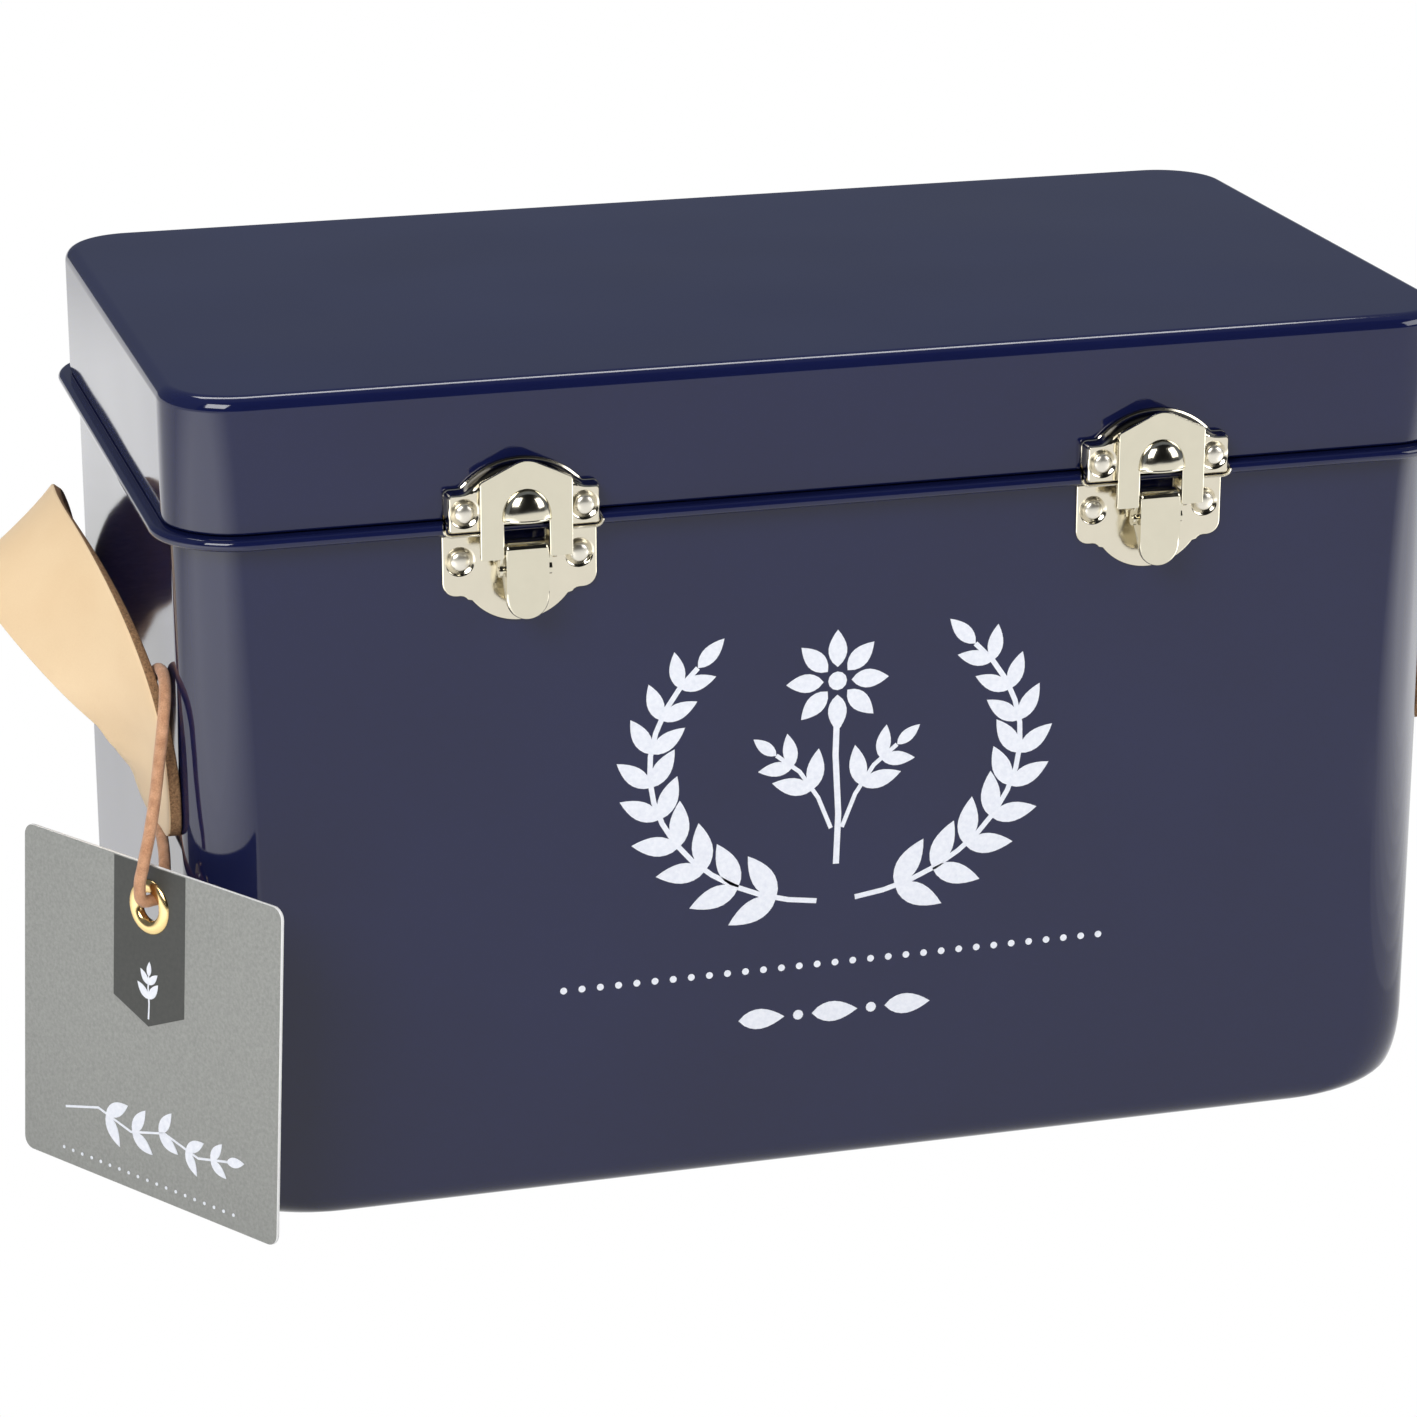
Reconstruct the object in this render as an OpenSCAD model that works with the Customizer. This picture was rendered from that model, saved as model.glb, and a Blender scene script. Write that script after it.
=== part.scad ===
// Garden seed organizer box: a painted sheet metal tin with a hinged lid, two draw catches,
// two leather strap handles, a hanging tag, and card dividers in two lanes inside.
// Millimetres. X runs along the width, the front faces -Y, Z is up from the table.

/* [Body] */
// Width of the body across its side walls
body_w = 322; // [290:1:380]
// Depth of the body from front wall to back wall
body_d = 177; // [150:1:220]
// Height of the seam between body and lid
seam_h = 178; // [165:1:210]
// Outside radius of the upright corners
corner_r = 16.5; // [12:0.5:24]
// Radius of the bottom edge
foot_r = 6; // [3:0.5:9]
// Thickness of the sheet metal
sheet = 0.8; // [0.6:0.1:1]
// How far the rolled bead stands out from the body wall
bead_out = 5.2; // [4:0.1:5.6]
// Height of the rolled bead
bead_h = 2.9; // [2.6:0.1:3.4]
// Height of the neck that stands up inside the lid
neck_h = 8; // [5:0.5:12]

/* [Lid] */
// Height of the lid from the seam to its top
lid_h = 33.5; // [28:0.5:45]
// How far the lid wall stands outside the body wall
lid_step = 2; // [2:0.1:2.4]
// Radius of the lid's top edge
lid_edge_r = 3.5; // [2:0.5:6]
// Gap between the lid's lower edge and the bead
lid_gap = 0.3; // [0.2:0.05:0.5]
// Height of the fold inside the lid's lower edge
hem_h = 4; // [2:0.5:6]

/* [Back hinges] */
// Distance of each hinge's middle from the end of the box
hinge_inset = 66; // [48:1:100]
// Length of a hinge along its pin
hinge_len = 50; // [40:1:60]
// Thickness of a hinge leaf
leaf_t = 1.2; // [0.8:0.1:1.5]
// Height of a hinge leaf on the wall
leaf_h = 20; // [16:1:24]
// Outside radius of a hinge knuckle
knuckle_r = 2.6; // [2.4:0.1:3]
// Radius of a hinge pin
hinge_pin_r = 1.25; // [1:0.05:1.4]
// Air between the bead and a hinge knuckle
knuckle_gap = 0.6; // [0.4:0.1:1]

/* [Catches] */
// Distance of each catch's middle from the end of the box
catch_inset = 81; // [61:1:100]
// Width of the strike plate and the base plate
plate_w = 38; // [36:0.5:42]
// Thickness of the catch plates
plate_t = 0.8; // [0.6:0.1:1]
// Distance between the two rivets of a plate
rivet_gap = 29.2; // [28.6:0.1:30]
// Radius of the base plate's round foot
arch_r = 15; // [14:0.5:16]
// Radius of the strike plate's arch
strike_arch_r = 21; // [20:0.5:23]
// Distance from the body wall to the strike plate's back
strike_off = 5.8; // [5.8:0.1:6]
// Height of the strike plate's ears above the seam
ear_top = 8.1; // [7:0.1:9]
// Width of the hasp
hasp_w = 22.4; // [21.5:0.1:23]
// Distance from the body wall to the hasp's back
hasp_off = 8; // [7.9:0.1:8.2]
// Width of the lever
lever_w = 10.4; // [9:0.1:10.6]
// Length of the lever below its pin
lever_len = 15.8; // [12:0.1:17]
// Depth of the lever's side flanges
flange_d = 4.4; // [4:0.1:4.6]
// Radius of the pin that carries the lever
lever_pin_r = 1; // [0.8:0.05:1.1]
// Radius of the pin that carries the hasp
hasp_pin_r = 0.9; // [0.7:0.05:1]
// Distance between the two pins of a catch
pin_gap = 4; // [3.8:0.1:4.2]
// Radius of the domed hood on the hasp
hood_r = 5.85; // [5:0.05:6]

/* [Rivets] */
// Radius of a catch rivet's shank
rivet_r = 1.2; // [1:0.05:1.4]
// Radius of a catch rivet's head
rivet_head_r = 2.4; // [2:0.1:2.6]
// Radius of a handle rivet's shank
strap_rivet_r = 1.8; // [1.4:0.1:2.2]
// Radius of a handle rivet's head
strap_head_r = 4; // [3.5:0.1:4.8]
// Radial clearance of pins and rivets in their holes
fit_gap = 0.06; // [0.03:0.01:0.1]

/* [Handles] */
// Width of a leather strap
strap_w = 30; // [26:1:32]
// Thickness of a leather strap
strap_t = 3.2; // [2.4:0.1:4]
// Distance of each strap end's rivet from the front or back of the box
strap_inset = 28.5; // [26.5:0.5:36.5]
// Height of the strap's cut end
strap_end_z = 98; // [95:0.5:99]
// Radius of the corners of the strap's cut end
strap_end_r = 6; // [3:0.5:10]
// Height of the handle rivets
strap_rivet_z = 106; // [105:0.5:106.5]
// Height of the line where the strap starts to bend
strap_flex_z = 112; // [111:0.5:113]
// Height of the strap at the middle of its arch
strap_top_z = 154; // [152:0.5:161]
// Distance from the side wall to the middle of the arch
strap_reach = 27; // [26:0.5:32]
// Tilt of the strap at the middle of its arch, in degrees
strap_tilt = 61; // [57:1:65]

/* [Tag] */
// Width of the hanging card tag
tag_w = 91; // [70:1:94]
// Height of the tag
tag_h = 85.5; // [70:0.5:88]
// Thickness of the tag
tag_t = 1; // [0.8:0.1:2]
// Height of the tag's lower edge
tag_z = 9; // [4:0.5:12]
// Depth of the eyelet's centre below the tag's top edge
eyelet_drop = 10.7; // [9:0.1:14]
// Outside radius of the eyelet
eyelet_r = 6.8; // [5.5:0.1:8]
// Radius of the eyelet's hole
eyelet_hole_r = 3.5; // [3:0.1:4.2]
// Diameter of the leather thong
thong_d = 3; // [2.4:0.1:3.2]

/* [Inside] */
// Number of dividers in each lane
lane_cards = 6; // [3:1:6]
// Thickness of a divider
card_t = 1.2; // [0.8:0.1:1.6]
// Height of a divider without its tab
card_h = 125; // [100:1:135]
// Gap at each side of a divider
card_side_gap = 2; // [1.5:0.5:4]
// Height of a divider's tab
tab_h = 12; // [8:1:16]
// Width of a divider's tab
tab_w = 26; // [20:1:30]
// Thickness of the partition between the lanes
part_t = 1; // [0.8:0.1:1.2]
// Height of the partition
part_h = 112; // [80:1:130]
// Clearance under and beside the loose pieces
loose_gap = 0.3; // [0.2:0.05:0.5]

/* [Hidden] */
$fn = 48;
eps = 0.01;

paint = [0.11, 0.12, 0.22];
nickel = [0.82, 0.8, 0.74];
hide = [0.92, 0.82, 0.66];
card = [0.86, 0.84, 0.76];

half_w = body_w / 2;
half_d = body_d / 2;
lid_w = body_w + 2 * lid_step;
lid_d = body_d + 2 * lid_step;
lid_r = corner_r + lid_step;
total_h = seam_h + lid_h;
hinge_x = half_w - hinge_inset;
catch_x = half_w - catch_inset;
strap_y = half_d - strap_inset;

// The hinge axis lies behind the bead, level with the middle of it.
axis_y = half_d + bead_out + knuckle_r + knuckle_gap;
axis_z = seam_h - bead_h / 2;
knuckle_len = hinge_len / 3;
knuckle_play = 0.3;
arm_low = bead_h / 2 + lid_gap;
leaf_top = axis_z - arm_low - leaf_t;

// Catch sizes are measured outward from the body wall and up from the seam.
strike_drop = 2.5;
strike_top = 14.3;
strike_front = strike_off + plate_t;
hasp_front = hasp_off + plate_t;
hasp_top = 11.6;
hasp_low = 8.5;
slot_top = -1.6;
lever_pin_off = 6;
lever_pin_z = -8;
hasp_pin_off = 5.8;
hasp_pin_z = lever_pin_z - pin_gap;
lever_off = 8.4;
fork_gap = 0.4;
lug_t = 0.8;
lug_in = lever_w / 2 + fork_gap;
base_lug_in = lug_in + lug_t + fork_gap;
base_lug_r = 1.6;
base_t = 1;
base_top = 3.8;
base_low = 19.2;
base_arch_z = 11.2;
rivet_z_lid = seam_h + 3;
rivet_z_body = seam_h - 10.4;
rivet_head_h = 1.3;
tail_h = 0.8;
tail_r = rivet_head_r - 0.4;

// The side walls carry the strap ends; all strap sizes are measured out from the wall.
strap_face = 0.05;
strap_mid = strap_face + strap_t / 2;
strap_split = 0.6;
strap_rings = 14;
strap_rise = 22;
strap_lead = 8;
strap_level = 28.5;
strap_head_h = 2;

// The tag hangs beside the left front corner; its middle is measured from that corner.
tag_turn = -56.9;
tag_lean = 3.5;
tag_at = [-9.1, 9.6];
tag_top = tag_z + tag_h;
eyelet_z = tag_top - eyelet_drop;

floor_gap = sheet + loose_gap;
lane_w = (body_d - 2 * sheet - part_t) / 2;
card_w = lane_w - 2 * card_side_gap;
card_pitch = (body_w - 2 * sheet) / (lane_cards + 1);
corner_cut = foot_r + 2;

function sgn(side) = side == "left" ? -1 : 1;

// One closed run of a wall profile around a rounded rectangle.
// The profile's X is the distance out from the wall, its Y is the height.
module ring(w, d, r) {
    for (i = [0:3]) {
        half = i % 2 == 0 ? w / 2 : d / 2;
        other = i % 2 == 0 ? d / 2 - r : w / 2 - r;
        rotate([0, 0, 90 * i]) {
            translate([half, other, 0]) rotate([90, 0, 0]) linear_extrude(2 * other) children();
            translate([half - r, other, 0]) rotate_extrude(angle = 90) translate([r, 0]) children();
        }
    }
}

module rounded_plate(w, d, r, t) {
    linear_extrude(t) {
        square([w - 2 * r, d], center = true);
        square([w, d - 2 * r], center = true);
        for (x = [-1, 1], y = [-1, 1]) translate([x * (w / 2 - r), y * (d / 2 - r)]) circle(r);
    }
}

// A quarter of a bent sheet edge, in the corner that kx and ky point to.
module edge_arc(r, t, kx, ky) {
    intersection() {
        difference() {
            circle(r);
            circle(r - t);
        }
        translate([kx > 0 ? 0 : -r, ky > 0 ? 0 : -r]) square([r, r]);
    }
}

// Places children that are drawn with X out from the wall and Y up, as a plate along the width.
module across(x, t) {
    translate([x + t, -half_d, 0]) rotate([90, 0, -90]) linear_extrude(t) children();
}

// Places a flat outline, drawn with X along the width and Y up, on the front of the body.
module on_front(x, off, t) {
    translate([x, -half_d - off, seam_h]) rotate([90, 0, 0]) linear_extrude(t) children();
}

module front_pin(x, off, z, r, len) {
    translate([x - len / 2, -half_d - off, seam_h + z]) rotate([0, 90, 0]) cylinder(r = r, h = len);
}

// A domed rivet along +Y: its head at y = 0 faces -Y, its clenched tail starts at y = grip.
module rivet(r, head_r, head_h, grip, tail_r) {
    sphere_r = (head_r * head_r + head_h * head_h) / (2 * head_h);
    rotate([-90, 0, 0]) cylinder(r = r, h = grip + tail_h / 2);
    intersection() {
        translate([0, sphere_r - head_h, 0]) sphere(sphere_r);
        translate([-head_r - 1, -head_h - 1, -head_r - 1])
            cube([2 * head_r + 2, head_h + 1, 2 * head_r + 2]);
    }
    translate([0, grip, 0]) rotate([-90, 0, 0]) cylinder(r = tail_r, h = tail_h);
}

module bead_profile() {
    mid = bead_out - bead_h / 2;
    difference() {
        union() {
            translate([-sheet, seam_h - bead_h]) square([mid + sheet, bead_h]);
            translate([mid, seam_h - bead_h / 2]) circle(bead_h / 2);
        }
        translate([-sheet, seam_h - bead_h + sheet]) square([mid + sheet, bead_h - 2 * sheet]);
        translate([mid, seam_h - bead_h / 2]) circle(bead_h / 2 - sheet);
    }
}

module body_profile() {
    translate([-foot_r, foot_r]) edge_arc(foot_r, sheet, 1, -1);
    translate([-sheet, foot_r]) square([sheet, seam_h - bead_h - foot_r]);
    bead_profile();
    translate([-sheet, seam_h]) square([sheet, neck_h]);
}

module lid_profile() {
    low = seam_h + lid_gap;
    translate([-sheet, low]) square([sheet, total_h - lid_edge_r - low]);
    translate([-2 * sheet, low]) square([sheet, hem_h]);
    translate([-lid_edge_r, total_h - lid_edge_r]) edge_arc(lid_edge_r, sheet, 1, 1);
}

module catch_holes(z, r) {
    for (side = [-1, 1], k = [-1, 1])
        translate([side * catch_x + k * rivet_gap / 2, -half_d - 12, z])
            rotate([-90, 0, 0]) cylinder(r = r + fit_gap, h = 24);
}

function hinge_rivet_x() = [for (s = [-1, 1], k = [-1, 1]) s * hinge_x + k * hinge_len / 3];
body_leaf_z = axis_z - arm_low - leaf_t - leaf_h / 2;
lid_leaf_z = axis_z + arm_low + leaf_t + 1 + leaf_h / 2;

module back_holes(z, r) {
    for (x = hinge_rivet_x())
        translate([x, half_d - 10, z]) rotate([-90, 0, 0]) cylinder(r = r + fit_gap, h = 24);
}

module strap_holes(r) {
    for (s = [-1, 1], y = [-1, 1])
        translate([s * half_w, y * strap_y, strap_rivet_z])
            rotate([0, 90, 0]) cylinder(r = r + fit_gap, h = 24, center = true);
}

// Notches in the neck, open at its top, clear the clenched ends of the lid's catch rivets.
module neck_notches() {
    r = tail_r + 0.5;
    for (s = [-1, 1], k = [-1, 1])
        translate([s * catch_x + k * rivet_gap / 2 - r, -half_d - 1, rivet_z_lid - r])
            cube([2 * r, 2 * sheet + 1, neck_h + r]);
}

module tin_body() {
    color(paint) difference() {
        union() {
            ring(body_w, body_d, corner_r) body_profile();
            rounded_plate(body_w - 2 * foot_r, body_d - 2 * foot_r, corner_r - foot_r, sheet);
        }
        catch_holes(rivet_z_body, rivet_r);
        back_holes(body_leaf_z, rivet_r);
        strap_holes(strap_rivet_r);
        neck_notches();
    }
}

module lid() {
    color(paint) difference() {
        union() {
            ring(lid_w, lid_d, lid_r) lid_profile();
            translate([0, 0, total_h - sheet])
                rounded_plate(lid_w - 2 * lid_edge_r, lid_d - 2 * lid_edge_r,
                    lid_r - lid_edge_r, sheet);
        }
        catch_holes(rivet_z_lid, rivet_r);
        back_holes(lid_leaf_z, rivet_r);
    }
}

module lane_partition() {
    half = half_w - sheet - loose_gap;
    lip = 12;
    color(paint) union() {
        translate([0, part_t / 2, sheet]) rotate([90, 0, 0]) linear_extrude(part_t)
            polygon([[-half + corner_cut, 0], [half - corner_cut, 0], [half, corner_cut],
                [half, part_h], [-half, part_h], [-half, corner_cut]]);
        for (s = [-1, 1])
            translate([s > 0 ? half - part_t : -half, -part_t / 2, sheet + corner_cut])
                cube([part_t, lip, part_h - corner_cut]);
    }
}

// lane is -1 for the front lane and 1 for the back lane; i counts from the left.
module divider(lane, i) {
    x = -half_w + sheet + card_pitch * (i + 1);
    y = lane * (lane_w + part_t) / 2;
    travel = card_w - tab_w - 4;
    tab_y = -card_w / 2 + 2 + travel * (i % 3) / 2;
    color(card) translate([x - card_t / 2, y, floor_gap]) rotate([90, 0, 90]) linear_extrude(card_t)
        union() {
            polygon([[-card_w / 2 + corner_cut, 0], [card_w / 2 - corner_cut, 0],
                [card_w / 2, corner_cut], [card_w / 2, card_h], [-card_w / 2, card_h],
                [-card_w / 2, corner_cut]]);
            translate([tab_y, card_h - eps]) square([tab_w, tab_h - 3]);
            translate([tab_y + 3, card_h + tab_h - 6]) square([tab_w - 6, 6]);
            for (k = [0, 1])
                translate([tab_y + 3 + k * (tab_w - 6), card_h + tab_h - 3]) circle(3);
        }
}

// Knuckles and arms are drawn about the pin, with the leaf flat on its wall.
module hinge_body_leaf(side) {
    x = sgn(side) * hinge_x;
    color(nickel) difference() {
        union() {
            translate([x - hinge_len / 2, half_d, leaf_top - leaf_h])
                cube([hinge_len, leaf_t, leaf_h + leaf_t]);
            for (k = [-1, 1]) translate([x + k * knuckle_len, 0, 0]) {
                translate([-knuckle_len / 2, half_d, leaf_top])
                    cube([knuckle_len, axis_y - half_d, leaf_t]);
                translate([-knuckle_len / 2, axis_y, axis_z])
                    rotate([0, 90, 0]) cylinder(r = knuckle_r, h = knuckle_len);
            }
        }
        translate([x, axis_y, axis_z]) rotate([0, 90, 0])
            cylinder(r = hinge_pin_r + fit_gap, h = hinge_len + 2, center = true);
        back_holes(body_leaf_z, rivet_r);
    }
}

module hinge_lid_leaf(side) {
    x = sgn(side) * hinge_x;
    wall = lid_d / 2;
    low = axis_z + arm_low;
    len = knuckle_len - 2 * knuckle_play;
    color(nickel) difference() {
        union() {
            translate([x - hinge_len / 2, wall, low + 1])
                cube([hinge_len, leaf_t, leaf_h + leaf_t]);
            translate([x - len / 2, wall, low]) cube([len, leaf_t, leaf_t + 1]);
            translate([x - len / 2, wall, low]) cube([len, axis_y - wall, leaf_t]);
            translate([x - len / 2, axis_y, axis_z])
                rotate([0, 90, 0]) cylinder(r = knuckle_r, h = len);
        }
        translate([x, axis_y, axis_z]) rotate([0, 90, 0])
            cylinder(r = hinge_pin_r + fit_gap, h = hinge_len + 2, center = true);
        back_holes(lid_leaf_z, rivet_r);
    }
}

module hinge_pin(side) {
    color(nickel) translate([sgn(side) * hinge_x, axis_y, axis_z]) rotate([0, 90, 0]) union() {
        cylinder(r = hinge_pin_r, h = hinge_len + 1, center = true);
        for (k = [-1, 1]) translate([0, 0, k * (hinge_len / 2 + 0.7)])
            cylinder(r = hinge_pin_r + 0.5, h = 1, center = true);
    }
}

module hinge_rivets(wall, z) {
    color(nickel) for (x = hinge_rivet_x())
        translate([x, wall + leaf_t, z]) rotate([0, 0, 180])
            rivet(rivet_r, rivet_head_r, rivet_head_h, leaf_t + sheet, tail_r);
}

module strike_outline(inset) {
    w = plate_w - 2 * inset;
    translate([-w / 2, -strike_drop]) square([w, strike_drop + ear_top - inset]);
    intersection() {
        translate([0, strike_top - strike_arch_r]) circle(strike_arch_r - inset);
        translate([-w / 2, 0]) square([w, plate_w]);
    }
}

module strike_plate_outline() {
    intersection() {
        strike_outline(0);
        translate([-plate_w, -strike_drop]) square([2 * plate_w, plate_w]);
    }
}

// A pressed tray: its rim turns back to the lid wall and its face passes in front of the bead.
module catch_strike(side) {
    x = sgn(side) * catch_x;
    rim_low = lid_gap + 0.4;
    color(nickel) difference() {
        union() {
            on_front(x, strike_off, plate_t) strike_plate_outline();
            on_front(x, lid_step, strike_off - lid_step) difference() {
                intersection() {
                    strike_outline(0);
                    translate([-plate_w, rim_low]) square([2 * plate_w, plate_w]);
                }
                strike_outline(plate_t);
            }
            on_front(x, strike_front - eps, 0.8) translate([-4.5, 1.9]) square([9, 2.4]);
        }
        catch_holes(rivet_z_lid, rivet_r);
    }
}

module base_outline() {
    translate([-plate_w / 2, -base_low]) square([plate_w, base_low - base_top]);
    intersection() {
        translate([0, -base_arch_z]) circle(arch_r);
        translate([-plate_w, -base_top - plate_w]) square([2 * plate_w, plate_w]);
    }
}

module base_lug_outline() {
    translate([lever_pin_off, seam_h + lever_pin_z]) circle(base_lug_r);
    translate([base_t / 2, seam_h + lever_pin_z - base_lug_r])
        square([lever_pin_off - base_t / 2, 2 * base_lug_r]);
}

module catch_base(side) {
    x = sgn(side) * catch_x;
    color(nickel) difference() {
        union() {
            on_front(x, 0, base_t) base_outline();
            for (k = [-1, 1])
                across(x + (k > 0 ? base_lug_in : -base_lug_in - lug_t), lug_t) base_lug_outline();
        }
        catch_holes(rivet_z_body, rivet_r);
        front_pin(x, lever_pin_off, lever_pin_z, lever_pin_r + fit_gap, 30);
    }
}

module lever_pin(side) {
    len = 2 * (base_lug_in + lug_t) + 1.6;
    color(nickel) front_pin(sgn(side) * catch_x, lever_pin_off, lever_pin_z, lever_pin_r, len);
}

module flange_outline() {
    top = seam_h + lever_pin_z + 3;
    low = seam_h + lever_pin_z - lever_len + lever_w / 2;
    back = lever_off - flange_d;
    polygon([[lever_off + eps, top], [back + 1, top], [back, top - 1], [back, hasp_pin_z + seam_h - 1.6],
        [back + 1.4, hasp_pin_z + seam_h - 3], [lever_off - 1.4, low], [lever_off + eps, low]]);
}

module catch_lever(side) {
    x = sgn(side) * catch_x;
    tip = lever_pin_z - lever_len + lever_w / 2;
    color(nickel) difference() {
        union() {
            on_front(x, lever_off, plate_t) {
                translate([-lever_w / 2, tip]) square([lever_w, lever_pin_z + 3.2 - tip]);
                translate([0, tip]) circle(lever_w / 2);
            }
            for (k = [-1, 1])
                across(x + (k > 0 ? lever_w / 2 - plate_t : -lever_w / 2), plate_t) flange_outline();
        }
        front_pin(x, lever_pin_off, lever_pin_z, lever_pin_r + fit_gap, 30);
        front_pin(x, hasp_pin_off, hasp_pin_z, hasp_pin_r + fit_gap, 30);
    }
}

module hasp_pin(side) {
    len = 2 * (lug_in + lug_t) + 0.3;
    color(nickel) front_pin(sgn(side) * catch_x, hasp_pin_off, hasp_pin_z, hasp_pin_r, len);
}

hasp_rise = 3.8;
hasp_arc_r = (pow(hasp_w / 2, 2) + pow(hasp_rise, 2)) / (2 * hasp_rise);

module hasp_outline() {
    difference() {
        union() {
            translate([-hasp_w / 2, -hasp_low]) square([hasp_w, hasp_low + hasp_top]);
            intersection() {
                translate([0, hasp_top + hasp_rise - hasp_arc_r]) circle(hasp_arc_r);
                translate([-hasp_w / 2, 0]) square([hasp_w, 40]);
            }
        }
        translate([-lug_in, -hasp_low - 1]) square([2 * lug_in, hasp_low + 1 - slot_top]);
    }
}

module hasp_lug_outline() {
    z = seam_h + hasp_pin_z;
    translate([hasp_pin_off, z]) circle(1.7);
    polygon([[hasp_front, z + 5.4], [hasp_off - 0.2, z + 5.4], [hasp_off - 0.2, z + 2.6],
        [hasp_pin_off - 1, z + 1.37], [hasp_pin_off + 1.4, z - 0.96], [hasp_front, z + 2.4]]);
}

module catch_hasp(side) {
    x = sgn(side) * catch_x;
    hood_z = 3.6;
    hood_sink = 1.5;
    color(nickel) difference() {
        union() {
            on_front(x, hasp_off, plate_t) hasp_outline();
            for (k = [-1, 1]) {
                on_front(x + (k > 0 ? hasp_w / 2 - plate_t : -hasp_w / 2), hasp_off - 1, 1 + eps)
                    translate([0, -hasp_low]) square([plate_t, hasp_low + hasp_top - 1]);
                across(x + (k > 0 ? lug_in : -lug_in - lug_t), lug_t) hasp_lug_outline();
            }
            intersection() {
                translate([x, -half_d - hasp_off + hood_sink, seam_h + hood_z]) sphere(hood_r);
                translate([x - 20, -half_d - hasp_off - 20, seam_h - slot_top])
                    cube([40, 20 - plate_t / 2, 40]);
            }
        }
        translate([x, -half_d - hasp_off + hood_sink, seam_h + hood_z]) sphere(hood_r - plate_t);
        front_pin(x, hasp_pin_off, hasp_pin_z, hasp_pin_r + fit_gap, 30);
    }
}

module catch_rivets(wall, z, grip) {
    color(nickel) for (s = [-1, 1], k = [-1, 1])
        translate([s * catch_x + k * rivet_gap / 2, -half_d - wall, z])
            rivet(rivet_r, rivet_head_r, rivet_head_h, grip, tail_r);
}

// Middle line of one half of a strap, as distance out from the wall, place along it, and height.
function bez(a, b, c, d, t) =
    pow(1 - t, 3) * a + 3 * pow(1 - t, 2) * t * b + 3 * (1 - t) * t * t * c + t * t * t * d;
function strap_low() = [strap_mid, -strap_y, strap_flex_z];
function strap_rise_pt() = [strap_mid + strap_lead, -strap_y, strap_flex_z + strap_rise];
function strap_level_pt() = [strap_reach, -strap_level, strap_top_z];
function strap_apex() = [strap_reach, 0, strap_top_z];
function strap_at(t) = bez(strap_low(), strap_rise_pt(), strap_level_pt(), strap_apex(), t);
function unit(v) = v / norm(v);
function strap_dir(t) = unit(
    pow(1 - t, 2) * (strap_rise_pt() - strap_low())
    + 2 * (1 - t) * t * (strap_level_pt() - strap_rise_pt())
    + t * t * (strap_apex() - strap_level_pt()));

// The strap lies flat on the wall at its end and tilts outward as it climbs.
function strap_normal(t) =
    let (u = strap_dir(t), n = unit([1, 0, 0] - u[0] * u), w = cross(n, u),
        a = strap_tilt * pow(t, 0.9))
    n * cos(a) + w * sin(a);
function strap_corners(p, w, n) = [for (k = [[1, 1], [1, -1], [-1, -1], [-1, 1]])
    p + w * k[0] * strap_w / 2 + n * k[1] * strap_t / 2];
function strap_ring(t) =
    let (n = strap_normal(t)) strap_corners(strap_at(t), cross(strap_dir(t), n), n);

// The lowest ring is level, so that the arch can bend outward over the fixed end.
function flex_ring() = strap_corners(strap_low(), [0, 1, 0], [1, 0, 0]);
function half_rings() = concat([flex_ring()], [for (i = [1:strap_rings]) strap_ring(i / strap_rings)]);

// The far half mirrors the near half, with its corners in the same order along the strap.
function far(c) = [for (p = c) [p[0], -p[1], p[2]]];
function arch_rings() = let (h = half_rings())
    concat(h, [for (i = [strap_rings - 1:-1:0]) far(h[i])]);

module tube(rings, sides) {
    n = len(rings);
    polyhedron(
        points = [for (r = rings) for (p = r) p],
        faces = concat(
            [[for (i = [0:sides - 1]) i]],
            [for (k = [0:n - 2], i = [0:sides - 1]) let (j = (i + 1) % sides)
                [k * sides + j, k * sides + i, (k + 1) * sides + j]],
            [for (k = [0:n - 2], i = [0:sides - 1]) let (j = (i + 1) % sides)
                [(k + 1) * sides + j, k * sides + i, (k + 1) * sides + i]],
            [[for (i = [sides - 1:-1:0]) (n - 1) * sides + i]]));
}

// Strap shapes are drawn out along +X from the right wall and mirrored for the left.
module strap_side_place(side) {
    if (side == "left") mirror([1, 0, 0]) translate([half_w, 0, 0]) children();
    else translate([half_w, 0, 0]) children();
}

module handle_arch(side) {
    color(hide) strap_side_place(side) tube(arch_rings(), 4);
}

module handle_ends(side) {
    color(hide) difference() {
        strap_side_place(side) for (k = [-1, 1])
            translate([strap_face, k * strap_y, 0]) rotate([90, 0, 90]) linear_extrude(strap_t)
                strap_end_outline();
        strap_holes(strap_rivet_r);
    }
}

module strap_end_outline() {
    top = strap_flex_z - strap_split;
    half = strap_w / 2;
    translate([-half, strap_end_z + strap_end_r]) square([strap_w, top - strap_end_z - strap_end_r]);
    translate([-half + strap_end_r, strap_end_z])
        square([strap_w - 2 * strap_end_r, strap_end_r + 1]);
    for (y = [-1, 1])
        translate([y * (half - strap_end_r), strap_end_z + strap_end_r]) circle(strap_end_r);
}

module handle_rivets() {
    color(nickel) for (s = [-1, 1], k = [-1, 1])
        translate([s * (half_w + strap_face + strap_t), k * strap_y, strap_rivet_z])
            rotate([0, 0, s > 0 ? 90 : -90])
                rivet(strap_rivet_r, strap_head_r, strap_head_h,
                    strap_t + strap_face + sheet + 1, strap_rivet_r + 0.9);
}

module handle_washers() {
    color(nickel) for (s = [-1, 1], k = [-1, 1])
        translate([s * (half_w - sheet - 0.5), k * strap_y, strap_rivet_z]) rotate([0, 90, 0])
            difference() {
                cylinder(r = strap_head_r, h = 1, center = true);
                cylinder(r = strap_rivet_r + fit_gap, h = 3, center = true);
            }
}

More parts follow.
